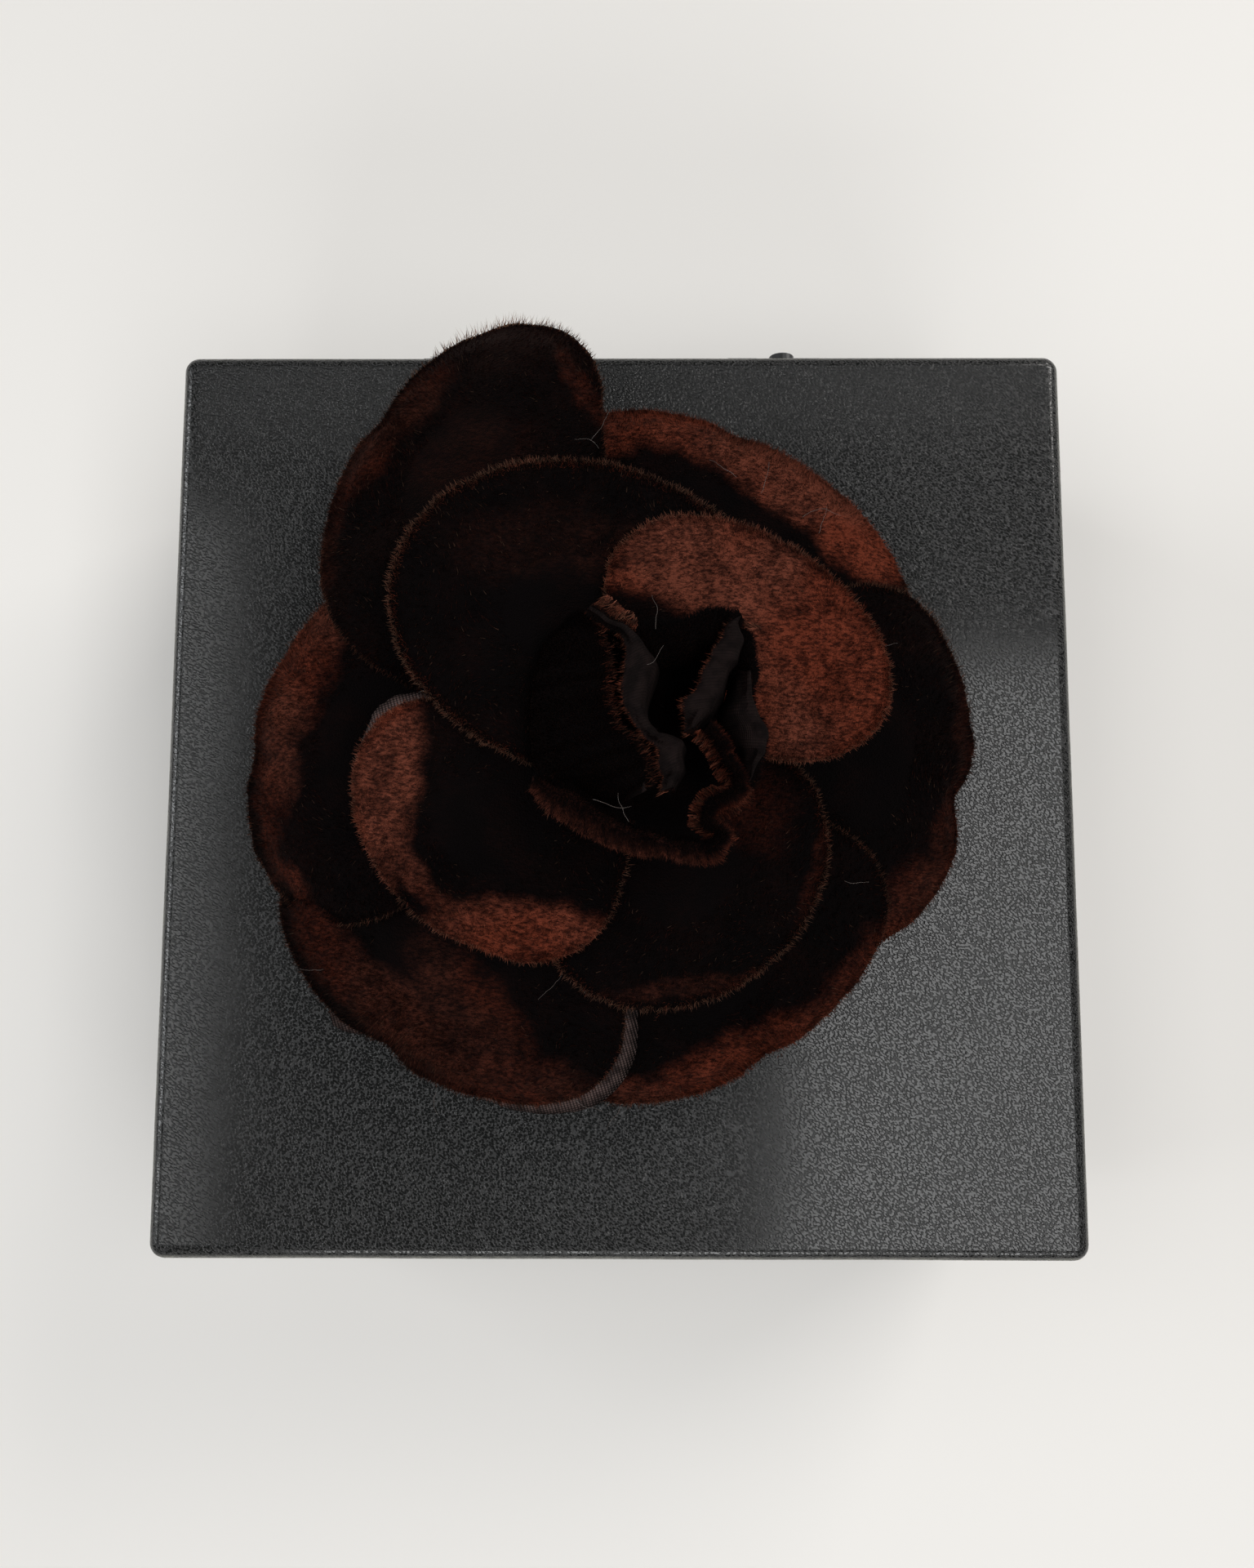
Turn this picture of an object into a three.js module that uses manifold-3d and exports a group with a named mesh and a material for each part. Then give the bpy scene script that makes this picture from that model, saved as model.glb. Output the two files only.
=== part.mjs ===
// Square leather box clutch with a hinged lid and a velvet camellia on a press stud.
// Millimetres, +Z up, +Y towards the hinges. The origin is the centre of the base's underside.
import * as THREE from 'three';
import { mergeVertices } from 'three/addons/utils/BufferGeometryUtils.js';
import Module from 'manifold-3d';

const wasm = await Module();
wasm.setup();

// Driving dimensions
const BOX_WIDTH = 125;
const LID_TOP = 50;
const BASE_RIM = 35.5;
const PARTING_GAP = 0.6;
const CORNER_RADIUS = 2.2;
const LEATHER = 1.0;
const BOARD = 2.2;
const LINING = 0.6;
const CLEARANCE = 0.3;

const HINGE_OFFSET = 23.4;
const HINGE_WIDTH = 14;
const HINGE_STANDOFF = 2.0;
const LEAF = 1.0;
const KNUCKLE_RADIUS = 1.6;
const MIDDLE_KNUCKLE = 4.6;
const PIN_RADIUS = 0.65;
const RIVET_OFFSET = 4.2;
const HINGE_STOP_ANGLE = 100;
const BASE_LEAF_FLOOR = 26;
const LID_LEAF_TOP = 44;
const TONGUE_TOP = 47.5;
const TONGUE_RADIUS = 1.8;

const BASE_RIVET_Z = 29.5;
const LID_RIVET_Z = 41.2;
const RIVET_SHANK = 0.7;
const RIVET_HEAD_RADIUS = 1.2;
const RIVET_HEAD = 0.6;

const MAGNET = { length: 12, thickness: 1.2, height: 5, offset: 30 };
const COLLAR_TOP = 42;
const NOTCH_RADIUS = 8;
const NOTCH_DEPTH = 3;
const BOTTOM_FLANGE = 10;
const BOTTOM_RELIEF = 0.2;
const BASE_PAD_DEPTH = 3;
const LID_PAD_DEPTH = 1.8;

const STUD_HOLE = 1.5;
const STUD_CAP_RADIUS = 4.2;
const STUD_FLANGE = 0.8;
const SOCKET_DEPTH = 3.2;

const FLOWER_CENTRE = [3.5, 6];
const FELT_RADIUS = 19;
const FELT_THICKNESS = 0.8;
const PETAL_THICKNESS = 1.0;
const PETAL_STEP = 1.4;
const FIRST_PETAL_TOP = 57;
const PETAL_ROOT = 4;
const MIDDLE_CUP = 0.003;
const DENT_WIDTH = 0.28;
const BUD_FLOOR = 73.5;
const BUD_TOP = 83.6;
const BUD_HEART_DEPTH = 7;
const BUD_FOLD_THICKNESS = 1;

// Worked out from the driving dimensions
const HALF = BOX_WIDTH / 2;
const BOARD_FACE = HALF - LEATHER - CLEARANCE;
const BOARD_BACK = BOARD_FACE - BOARD;
const COLLAR_FACE = BOARD_BACK - 0.5;
const COLLAR_BACK = COLLAR_FACE - 1.8;
const LINING_FACE = COLLAR_BACK - CLEARANCE;
const LINING_BACK = LINING_FACE - LINING;
const LID_RIM = BASE_RIM + PARTING_GAP;
const HINGE_Y = HALF + HINGE_STANDOFF;
const HINGE_Z = BASE_RIM + PARTING_GAP / 2;
const BORE_RADIUS = PIN_RADIUS + CLEARANCE;
const LEAF_INNER = HALF + CLEARANCE;
const LEAF_OUTER = LEAF_INNER + LEAF;

// Layers of the base, upwards
const BASE_BOARD_FLOOR = LEATHER + CLEARANCE;
const BASE_BOARD_TOP = BASE_BOARD_FLOOR + BOARD;
const BASE_PAD_FLOOR = BASE_BOARD_TOP + CLEARANCE;
const BASE_PAD_TOP = BASE_PAD_FLOOR + BASE_PAD_DEPTH;
const BASE_LINING_FLOOR = BASE_PAD_TOP + CLEARANCE;

// Layers of the lid, downwards
const LID_BOARD_TOP = LID_TOP - LEATHER - CLEARANCE;
const LID_BOARD_FLOOR = LID_BOARD_TOP - BOARD;
const LID_PAD_TOP = LID_BOARD_FLOOR - CLEARANCE;
const LID_PAD_FLOOR = LID_PAD_TOP - LID_PAD_DEPTH;
const LID_LINING_TOP = LID_PAD_FLOOR - CLEARANCE;

// The board's rims, the rivets' inner ends and the press stud's levels
const BASE_BOARD_RIM = BASE_RIM - LEATHER - CLEARANCE;
const RIVET_HOLE = RIVET_SHANK + CLEARANCE;
const RIVET_END = BOARD_BACK + 0.9;
const FLANGE_FLOOR = LID_TOP + CLEARANCE;
const FLANGE_TOP = FLANGE_FLOOR + STUD_FLANGE;
const SHANK_END = LID_PAD_TOP - 0.6;
const SOCKET_FLOOR = FLANGE_TOP + CLEARANCE;
const SOCKET_TOP = SOCKET_FLOOR + SOCKET_DEPTH;

// Materials
function material(color, roughness, metalness = 0) {
  return new THREE.MeshStandardMaterial({ color, roughness, metalness });
}
const LEATHER_BLACK = material(0x17191a, 0.45);
const BOARD_BLACK = material(0x141414, 0.85);
const SUEDE = material(0x2a1a14, 0.95);
const FOAM = material(0x3a3632, 0.95);
const LACQUER = material(0x1b1b1c, 0.3, 0.9);
const STEEL = material(0xb9bcc0, 0.25, 1);
const FELT = material(0x241613, 0.95);
const VELVET = material(0x3a120b, 0.9);

const model = new THREE.Group();
model.name = 'box_clutch_with_camellia';

function addPiece(name, geometry, finish, parent = model) {
  const mesh = new THREE.Mesh(geometry, finish);
  mesh.name = name;
  parent.add(mesh);
  return mesh;
}

// Geometry helpers
function meshGeometry(points, triangles) {
  const geometry = new THREE.BufferGeometry();
  geometry.setAttribute('position', new THREE.Float32BufferAttribute(points.flat(), 3));
  geometry.setIndex(triangles.flat());
  return geometry;
}

function toSolid(geometry) {
  const bare = geometry.clone();
  bare.deleteAttribute('normal');
  bare.deleteAttribute('uv');
  const merged = mergeVertices(bare, 1e-4);
  return new wasm.Manifold(new wasm.Mesh({
    numProp: 3,
    vertProperties: new Float32Array(merged.attributes.position.array),
    triVerts: new Uint32Array(merged.index.array),
  }));
}

function fromSolid(solid) {
  const mesh = solid.getMesh();
  const geometry = new THREE.BufferGeometry();
  geometry.setAttribute('position', new THREE.BufferAttribute(mesh.vertProperties, 3));
  geometry.setIndex(new THREE.BufferAttribute(mesh.triVerts, 1));
  return geometry;
}

function cut(geometry, tools) {
  const solid = tools.reduce((left, tool) => left.subtract(toSolid(tool)), toSolid(geometry));
  return fromSolid(solid);
}

function join(geometries) {
  const solids = geometries.map(toSolid);
  return fromSolid(solids.reduce((left, right) => left.add(right)));
}

function block(low, high) {
  const size = high.map((value, axis) => value - low[axis]);
  const middle = high.map((value, axis) => (value + low[axis]) / 2);
  return new THREE.BoxGeometry(...size).translate(...middle);
}

// Cylinders along one axis, from one end to the other
function rodX(radius, x0, x1, y, z, sides = 16) {
  const rod = new THREE.CylinderGeometry(radius, radius, x1 - x0, sides);
  return rod.rotateZ(Math.PI / 2).translate((x0 + x1) / 2, y, z);
}

function rodY(radius, y0, y1, x, z, sides = 12) {
  const rod = new THREE.CylinderGeometry(radius, radius, y1 - y0, sides);
  return rod.translate(x, (y0 + y1) / 2, z);
}

function rodZ(radius, z0, z1, [x, y], sides = 20) {
  const rod = new THREE.CylinderGeometry(radius, radius, z1 - z0, sides);
  return rod.rotateX(Math.PI / 2).translate(x, y, (z0 + z1) / 2);
}

// A turned piece standing along Z, its profile given as [radius, height] points
function turned(profile, [x, y], sides = 20) {
  const points = profile.map(([radius, height]) => new THREE.Vector2(radius, height));
  return new THREE.LatheGeometry(points, sides).rotateX(Math.PI / 2).translate(x, y, 0);
}

// A square with rounded corners, anticlockwise
function roundedSquare(half, steps = 3) {
  const radius = Math.max(CORNER_RADIUS - (HALF - half), 0.4);
  const points = [];
  for (let corner = 0; corner < 4; corner += 1) {
    for (let step = 0; step <= steps; step += 1) {
      const angle = (corner + step / steps) * Math.PI / 2;
      const turn = (corner + 0.5) * Math.PI / 2;
      const centre = (half - radius) * Math.SQRT2;
      points.push([
        centre * Math.cos(turn) + radius * Math.cos(angle),
        centre * Math.sin(turn) + radius * Math.sin(angle),
      ]);
    }
  }
  return points;
}

// Carries an anticlockwise [half-width, height] profile round the square. A profile that starts and
// ends at half-width 0 makes a filled body; any other one closes on itself and makes a frame.
function squareSweep(profile) {
  const points = [];
  const rings = profile.map(([half, height]) => {
    const start = points.length;
    const ring = half === 0 ? [[0, 0]] : roundedSquare(half);
    ring.forEach(([x, y]) => points.push([x, y, height]));
    return { start, count: ring.length };
  });
  const filled = profile[0][0] === 0;
  const bands = filled ? rings.length - 1 : rings.length;
  const triangles = [];
  for (let band = 0; band < bands; band += 1) {
    const lower = rings[band];
    const upper = rings[(band + 1) % rings.length];
    const sides = Math.max(lower.count, upper.count);
    for (let side = 0; side < sides; side += 1) {
      const next = (side + 1) % sides;
      const a = lower.start + (lower.count > 1 ? side : 0);
      const b = lower.start + (lower.count > 1 ? next : 0);
      const c = upper.start + (upper.count > 1 ? next : 0);
      const d = upper.start + (upper.count > 1 ? side : 0);
      if (lower.count > 1) triangles.push([a, b, c]);
      if (upper.count > 1) triangles.push([a, c, d]);
    }
  }
  return meshGeometry(points, triangles);
}

function plate(half, z0, z1) {
  const shape = new THREE.Shape(roundedSquare(half).map(([x, y]) => new THREE.Vector2(x, y)));
  return new THREE.ExtrudeGeometry(shape, { depth: z1 - z0, bevelEnabled: false }).translate(0, 0, z0);
}

// A quarter-round edge from the wall up to the top face, as [half-width, height] points
function topEdge(half, top, radius, steps = 4) {
  return Array.from({ length: steps + 1 }, (_, step) => {
    const angle = step / steps * Math.PI / 2;
    return [half - radius + radius * Math.cos(angle), top - radius + radius * Math.sin(angle)];
  });
}

// Hinge rivets and the holes they leave
const rivetSpots = [-1, 1].flatMap((hinge) => [-1, 1].map((side) => (
  hinge * HINGE_OFFSET + side * RIVET_OFFSET)));

function rivetHoles(z) {
  return rivetSpots.map((x) => rodY(RIVET_HOLE, RIVET_END - CLEARANCE, HALF + 1, x, z, 8));
}

// Magnets let into the front boards, one above the other across the parting line
function magnetBox(side, z0, z1, spare) {
  const middle = side * MAGNET.offset;
  const reach = MAGNET.length / 2 + spare;
  const front = -BOARD_BACK - MAGNET.thickness - spare;
  return block([middle - reach, front, z0], [middle + reach, -BOARD_BACK + spare, z1]);
}

// Base
const notchHeight = BASE_RIM + NOTCH_RADIUS - NOTCH_DEPTH;
const thumbNotch = rodY(NOTCH_RADIUS, -HALF - 1, -BOARD_BACK + 0.1, 0, notchHeight, 28);

function makeBase() {
  const wrap = squareSweep([
    [HALF - BOTTOM_FLANGE, BOTTOM_RELIEF],
    [HALF - 0.8, BOTTOM_RELIEF],
    [HALF, BOTTOM_RELIEF + 0.8],
    [HALF, BASE_RIM - 0.4],
    [HALF - 0.4, BASE_RIM],
    [COLLAR_FACE + CLEARANCE, BASE_RIM],
    [COLLAR_FACE + CLEARANCE, BASE_RIM - LEATHER],
    [HALF - LEATHER, BASE_RIM - LEATHER],
    [HALF - LEATHER, LEATHER],
    [HALF - BOTTOM_FLANGE, LEATHER],
  ]);
  addPiece('base_leather', cut(wrap, [thumbNotch, ...rivetHoles(BASE_RIVET_Z)]), LEATHER_BLACK);

  const tray = squareSweep([
    [0, BASE_BOARD_FLOOR],
    [BOARD_FACE, BASE_BOARD_FLOOR],
    [BOARD_FACE, BASE_BOARD_RIM],
    [BOARD_BACK, BASE_BOARD_RIM],
    [BOARD_BACK, BASE_BOARD_TOP],
    [0, BASE_BOARD_TOP],
  ]);
  const magnetFloor = BASE_BOARD_RIM - MAGNET.height;
  const pockets = [-1, 1].map((side) => magnetBox(side, magnetFloor - CLEARANCE, BASE_RIM, CLEARANCE));
  addPiece('base_shell', cut(tray, [thumbNotch, ...pockets, ...rivetHoles(BASE_RIVET_Z)]), BOARD_BLACK);
  addPiece('base_magnet_left', magnetBox(-1, magnetFloor, BASE_BOARD_RIM, 0), STEEL);
  addPiece('base_magnet_right', magnetBox(1, magnetFloor, BASE_BOARD_RIM, 0), STEEL);

  const inlay = plate(HALF - BOTTOM_FLANGE - CLEARANCE, 0, LEATHER);
  addPiece('base_bottom_leather', inlay, LEATHER_BLACK);
  addPiece('base_pad', plate(COLLAR_BACK - CLEARANCE, BASE_PAD_FLOOR, BASE_PAD_TOP), FOAM);

  addPiece('rim_collar', squareSweep([
    [COLLAR_BACK, BASE_PAD_FLOOR],
    [COLLAR_FACE, BASE_PAD_FLOOR],
    [COLLAR_FACE, COLLAR_TOP - 0.6],
    [COLLAR_FACE - 0.6, COLLAR_TOP],
    [COLLAR_BACK + 0.3, COLLAR_TOP],
    [COLLAR_BACK, COLLAR_TOP - 0.3],
  ]), BOARD_BLACK);

  addPiece('base_lining', squareSweep([
    [0, BASE_LINING_FLOOR],
    [LINING_FACE, BASE_LINING_FLOOR],
    [LINING_FACE, COLLAR_TOP - 0.5],
    [LINING_BACK, COLLAR_TOP - 0.5],
    [LINING_BACK, BASE_LINING_FLOOR + LINING],
    [0, BASE_LINING_FLOOR + LINING],
  ]), SUEDE);
}

// Lid
function makeLid() {
  const studHole = rodZ(STUD_HOLE, LID_PAD_TOP, LID_TOP + 1, FLOWER_CENTRE, 16);
  const wrap = squareSweep([
    [0, LID_TOP - LEATHER],
    [HALF - LEATHER, LID_TOP - LEATHER],
    [HALF - LEATHER, LID_RIM + LEATHER],
    [BOARD_BACK + 0.2, LID_RIM + LEATHER],
    [BOARD_BACK + 0.2, LID_RIM],
    [HALF - 0.4, LID_RIM],
    [HALF, LID_RIM + 0.4],
    ...topEdge(HALF, LID_TOP, 2),
    [0, LID_TOP],
  ]);
  addPiece('lid_leather', cut(wrap, [studHole, ...rivetHoles(LID_RIVET_Z)]), LEATHER_BLACK);

  const boardRim = LID_RIM + LEATHER + CLEARANCE;
  const cap = squareSweep([
    [0, LID_BOARD_FLOOR],
    [BOARD_BACK, LID_BOARD_FLOOR],
    [BOARD_BACK, boardRim],
    [BOARD_FACE, boardRim],
    [BOARD_FACE, LID_BOARD_TOP - 0.8],
    [BOARD_FACE - 0.8, LID_BOARD_TOP],
    [0, LID_BOARD_TOP],
  ]);
  const pockets = [-1, 1].map((side) => (
    magnetBox(side, LID_RIM, boardRim + MAGNET.height + CLEARANCE, CLEARANCE)));
  addPiece('lid_shell', cut(cap, [studHole, ...pockets, ...rivetHoles(LID_RIVET_Z)]), BOARD_BLACK);
  addPiece('lid_magnet_left', magnetBox(-1, boardRim, boardRim + MAGNET.height, 0), STEEL);
  addPiece('lid_magnet_right', magnetBox(1, boardRim, boardRim + MAGNET.height, 0), STEEL);

  const capRecess = rodZ(STUD_CAP_RADIUS + CLEARANCE, LID_PAD_FLOOR - 1, LID_PAD_TOP + 1, FLOWER_CENTRE);
  const inner = BOARD_BACK - CLEARANCE;
  addPiece('lid_pad', cut(plate(inner, LID_PAD_FLOOR, LID_PAD_TOP), [capRecess]), FOAM);
  addPiece('lid_lining', plate(inner, LID_LINING_TOP - LINING, LID_LINING_TOP), SUEDE);
}

// Hinges. Each has two end knuckles on the base leaf, one middle knuckle on the lid leaf and a
// ledge behind the end knuckles that stops the lid just past upright.
function stopLedge(x0, x1) {
  const reach = 3.9;
  const slope = Math.tan(THREE.MathUtils.degToRad(HINGE_STOP_ANGLE - 90));
  const restHeight = (distance) => HINGE_Z + 0.58 - slope * distance;
  const shape = new THREE.Shape([
    new THREE.Vector2(HINGE_Y + 0.8, HINGE_Z - 1.3),
    new THREE.Vector2(HINGE_Y + reach, HINGE_Z - 1.3),
    new THREE.Vector2(HINGE_Y + reach, restHeight(reach)),
    new THREE.Vector2(HINGE_Y + 0.8, restHeight(0.8)),
  ]);
  const ledge = new THREE.ExtrudeGeometry(shape, { depth: x1 - x0, bevelEnabled: false });
  return ledge.rotateY(Math.PI / 2).rotateX(Math.PI / 2).translate(x0, 0, 0);
}

function makeHinge(side, label) {
  const middle = side * HINGE_OFFSET;
  const left = middle - HINGE_WIDTH / 2;
  const right = middle + HINGE_WIDTH / 2;
  const split = MIDDLE_KNUCKLE / 2;
  const bore = rodX(BORE_RADIUS, left - 1, right + 1, HINGE_Y, HINGE_Z);
  const holes = (z) => [-1, 1].map((rivet) => (
    rodY(RIVET_HOLE, LEAF_INNER - 1, LEAF_OUTER + 1, middle + rivet * RIVET_OFFSET, z)));
  const reliefHeight = KNUCKLE_RADIUS + CLEARANCE;

  const ends = [[left, middle - split - CLEARANCE], [middle + split + CLEARANCE, right]];
  const baseLeaf = join([
    block([left, LEAF_INNER, BASE_LEAF_FLOOR], [right, LEAF_OUTER, HINGE_Z - reliefHeight]),
    ...ends.flatMap(([x0, x1]) => [
      block([x0, LEAF_INNER, HINGE_Z - reliefHeight - 1], [x1, LEAF_OUTER, HINGE_Z]),
      rodX(KNUCKLE_RADIUS, x0, x1, HINGE_Y, HINGE_Z),
      stopLedge(x0, x1),
    ]),
  ]);
  addPiece(`${label}_hinge_base_leaf`, cut(baseLeaf, [bore, ...holes(BASE_RIVET_Z)]), LACQUER);

  const tongueEnd = TONGUE_TOP - TONGUE_RADIUS;
  const lidLeaf = join([
    block([left, LEAF_INNER, HINGE_Z + reliefHeight], [right, LEAF_OUTER, LID_LEAF_TOP]),
    block([middle - split, LEAF_INNER, HINGE_Z], [middle + split, LEAF_OUTER, HINGE_Z + reliefHeight + 1]),
    block([middle - TONGUE_RADIUS, LEAF_INNER, LID_LEAF_TOP - 1],
      [middle + TONGUE_RADIUS, LEAF_OUTER, tongueEnd]),
    rodY(TONGUE_RADIUS, LEAF_INNER, LEAF_OUTER, middle, tongueEnd, 20),
    rodX(KNUCKLE_RADIUS, middle - split, middle + split, HINGE_Y, HINGE_Z),
  ]);
  addPiece(`${label}_hinge_lid_leaf`, cut(lidLeaf, [bore, ...holes(LID_RIVET_Z)]), LACQUER);

  const headEnd = HINGE_WIDTH / 2 + CLEARANCE + 0.5;
  const neck = HINGE_WIDTH / 2 + CLEARANCE;
  const pin = turned([
    [0, -headEnd], [1.1, -headEnd], [1.1, -neck], [PIN_RADIUS, -neck],
    [PIN_RADIUS, neck], [1.1, neck], [1.1, headEnd], [0, headEnd],
  ], [0, 0], 12);
  addPiece(`${label}_hinge_pin`, pin.rotateY(Math.PI / 2).translate(middle, HINGE_Y, HINGE_Z), STEEL);
}

function makeRivets() {
  const head = LEAF_OUTER + CLEARANCE;
  const profile = [
    [0, RIVET_END], [RIVET_SHANK, RIVET_END], [RIVET_SHANK, head], [RIVET_HEAD_RADIUS, head],
    [RIVET_HEAD_RADIUS, head + 0.2], [0.7, head + RIVET_HEAD], [0, head + RIVET_HEAD],
  ];
  [['base', BASE_RIVET_Z], ['lid', LID_RIVET_Z]].forEach(([part, z]) => {
    rivetSpots.forEach((x, index) => {
      const rivet = turned(profile, [0, 0], 10).rotateX(-Math.PI / 2).translate(x, 0, z);
      addPiece(`${part}_rivet_${index + 1}`, rivet, LACQUER);
    });
  });
}

// Press stud: post and cap on the lid, socket under the flower
function makePressStud() {
  addPiece('press_stud_post', turned([
    [0, SHANK_END], [1.2, SHANK_END], [1.2, FLANGE_FLOOR], [STUD_CAP_RADIUS, FLANGE_FLOOR],
    [STUD_CAP_RADIUS, FLANGE_TOP], [1.4, FLANGE_TOP], [1.4, FLANGE_TOP + 0.6],
    [2, FLANGE_TOP + 1.2], [1.6, FLANGE_TOP + 2], [0, FLANGE_TOP + 2.3],
  ], FLOWER_CENTRE), LACQUER);
  addPiece('press_stud_cap', turned([
    [0, LID_PAD_FLOOR + 0.3], [STUD_CAP_RADIUS, LID_PAD_FLOOR + 0.3], [STUD_CAP_RADIUS, LID_PAD_TOP],
    [STUD_HOLE, LID_PAD_TOP], [STUD_HOLE, SHANK_END - CLEARANCE], [0, SHANK_END - CLEARANCE],
  ], FLOWER_CENTRE), STEEL);
  addPiece('press_stud_socket', turned([
    [0, SOCKET_TOP - 0.5], [2.4, SOCKET_TOP - 0.5], [2.4, SOCKET_FLOOR], [5.5, SOCKET_FLOOR],
    [5.5, SOCKET_TOP], [0, SOCKET_TOP],
  ], FLOWER_CENTRE), LACQUER);
}

// Petals. One petal's plan is an oval: at places its middle from the flower's centre, long and short
// are its half-lengths, heading is the long one's, and a dent parts the rim in two lobes. dentAt goes
// round from the petal's outermost side.
const OUTER_PETALS = [
  { name: 'back_right', at: [10, 27.6], long: 27.5, short: 15.5, heading: -30, dentAt: 10, dent: 0.04 },
  { name: 'right', at: [29, -3], long: 23.5, short: 14.5, heading: 86, dentAt: -16, dent: 0.14 },
  { name: 'front_right', at: [9, -30], long: 24.5, short: 13.5, heading: 32, dentAt: 12, dent: 0.05 },
  { name: 'front_left', at: [-25.5, -30], long: 24.5, short: 14, heading: -30, dentAt: 1, dent: 0.1 },
  { name: 'left', at: [-35, -1.5], long: 23.5, short: 17, heading: 72, dentAt: 1, dent: 0.05 },
  { name: 'back_left', at: [-24, 33.5], long: 26.5, short: 16.5, heading: 66, dentAt: 11, dent: 0.03 },
];
const MIDDLE_PETALS = [
  { name: 'front', at: [4.5, -17.5], long: 19, short: 15.5, heading: 40, dentAt: 0, dent: 0 },
  { name: 'left', at: [-19.5, -13], long: 18.5, short: 13, heading: -45, dentAt: 52, dent: 0.05 },
  { name: 'back', at: [-7.5, 13], long: 24, short: 19, heading: 166, dentAt: 0, dent: 0 },
  { name: 'right', at: [12, 10], long: 19, short: 12.5, heading: -35, dentAt: 0, dent: 0 },
];
const PETAL_SIDES = 24;
const PETAL_RINGS = 3;

function ovalRadius({ long, short, heading }, angle) {
  const fromLong = angle - THREE.MathUtils.degToRad(heading);
  return 1 / Math.hypot(Math.cos(fromLong) / long, Math.sin(fromLong) / short);
}

// A point of the petal's plan: turn goes round from its outermost side, scale from its middle to the
// rim. An oval that ends short of the flower's root has its inner end drawn in to it.
function petalPoint(petal, turn, scale) {
  const [x, y] = petal.at;
  const distance = Math.hypot(x, y);
  const outward = Math.atan2(y, x);
  const fromDent = (turn - THREE.MathUtils.degToRad(petal.dentAt)) / DENT_WIDTH;
  const radius = ovalRadius(petal, outward + turn) * (1 - petal.dent * Math.exp(-fromDent * fromDent));
  const shortBy = Math.max(distance - ovalRadius(petal, outward) - PETAL_ROOT, 0);
  const drawnIn = shortBy * Math.max(-Math.cos(turn), 0) ** 3;
  const along = distance + scale * (radius * Math.cos(turn) - drawnIn);
  const across = scale * radius * Math.sin(turn);
  return [
    along * Math.cos(outward) - across * Math.sin(outward),
    along * Math.sin(outward) + across * Math.cos(outward),
  ];
}

function domeHeight(radius) {
  return 3 - 3 * ((radius - 22) / 22) ** 2;
}

function petalSolid(petal, top, cup) {
  const points = [];
  const height = ([x, y]) => {
    const radius = Math.hypot(x, y);
    return top + domeHeight(radius) + cup * radius * radius;
  };
  const addLayer = (drop) => {
    const middle = petalPoint(petal, 0, 0);
    points.push([...middle, height(middle) - drop]);
    for (let ring = 1; ring <= PETAL_RINGS; ring += 1) {
      for (let side = 0; side < PETAL_SIDES; side += 1) {
        const turn = (side / PETAL_SIDES * 2 - 1) * Math.PI;
        const spot = petalPoint(petal, turn, ring / PETAL_RINGS);
        points.push([...spot, height(spot) - drop]);
      }
    }
  };
  addLayer(0);
  addLayer(PETAL_THICKNESS);
  const layerSize = 1 + PETAL_RINGS * PETAL_SIDES;
  const vertex = (ring, side) => 1 + (ring - 1) * PETAL_SIDES + side % PETAL_SIDES;
  const triangles = [];
  const addBoth = (a, b, c) => triangles.push([a, b, c], [a + layerSize, c + layerSize, b + layerSize]);
  for (let side = 0; side < PETAL_SIDES; side += 1) {
    addBoth(0, vertex(1, side), vertex(1, side + 1));
    for (let ring = 1; ring < PETAL_RINGS; ring += 1) {
      addBoth(vertex(ring, side), vertex(ring + 1, side), vertex(ring + 1, side + 1));
      addBoth(vertex(ring, side), vertex(ring + 1, side + 1), vertex(ring, side + 1));
    }
    const rim = vertex(PETAL_RINGS, side);
    const nextRim = vertex(PETAL_RINGS, side + 1);
    triangles.push([rim, rim + layerSize, nextRim + layerSize], [rim, nextRim + layerSize, nextRim]);
  }
  return meshGeometry(points, triangles);
}

// Bud: standing strips of folded velvet round a solid heart, their plans given as points from the
// flower's centre
const BUD_FOLDS = {
  back: [[0.3, 8.6], [3, 9.2], [6.5, 10.9], [9.6, 11.2], [11.9, 9.4], [12.6, 6.4], [12.6, 4]],
  left: [[-4.1, 9], [-1.7, 7.2], [-1.1, 4.9], [-1.4, 2.5], [-1.6, 0], [-0.7, -1.9], [1, -3.3],
    [2.5, -4.4], [2.8, -6], [2.1, -9.2]],
  middle: [[9.3, 9], [8.9, 7], [8.2, 4.9], [7.4, 3], [5.6, -1.2], [4.9, -2.8]],
  right: [[10.7, 4.3], [10.2, 1.7], [10.7, -0.6], [11.4, -2.5], [11.9, -4.5], [11.9, -6]],
  front: [[6.9, -2.2], [8.5, -4.3], [9.8, -6.6], [10.7, -8.6], [10, -9.8], [8.2, -10.4], [6.9, -11.7],
    [7.2, -13], [8.3, -14.1], [7.9, -15.6], [6, -16], [2.5, -15.5], [-0.8, -14.7], [-4.3, -13.2],
    [-7.4, -11.4], [-12.4, -8.4]],
};
const BUD_HEART = [[-6.4, 11.2], [-9, 12], [-12, 8.8], [-13.2, 4.5], [-13.4, 0], [-12.8, -4], [-11, -6.6],
  [-7, -8.8], [-3, -10.2], [0, -9.8], [0.8, -7.5], [0.4, -5.2], [-1.4, -3.6], [-3.3, -1], [-3.5, 2],
  [-3.4, 5], [-4.4, 7.4], [-5.8, 9.2]];

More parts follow.
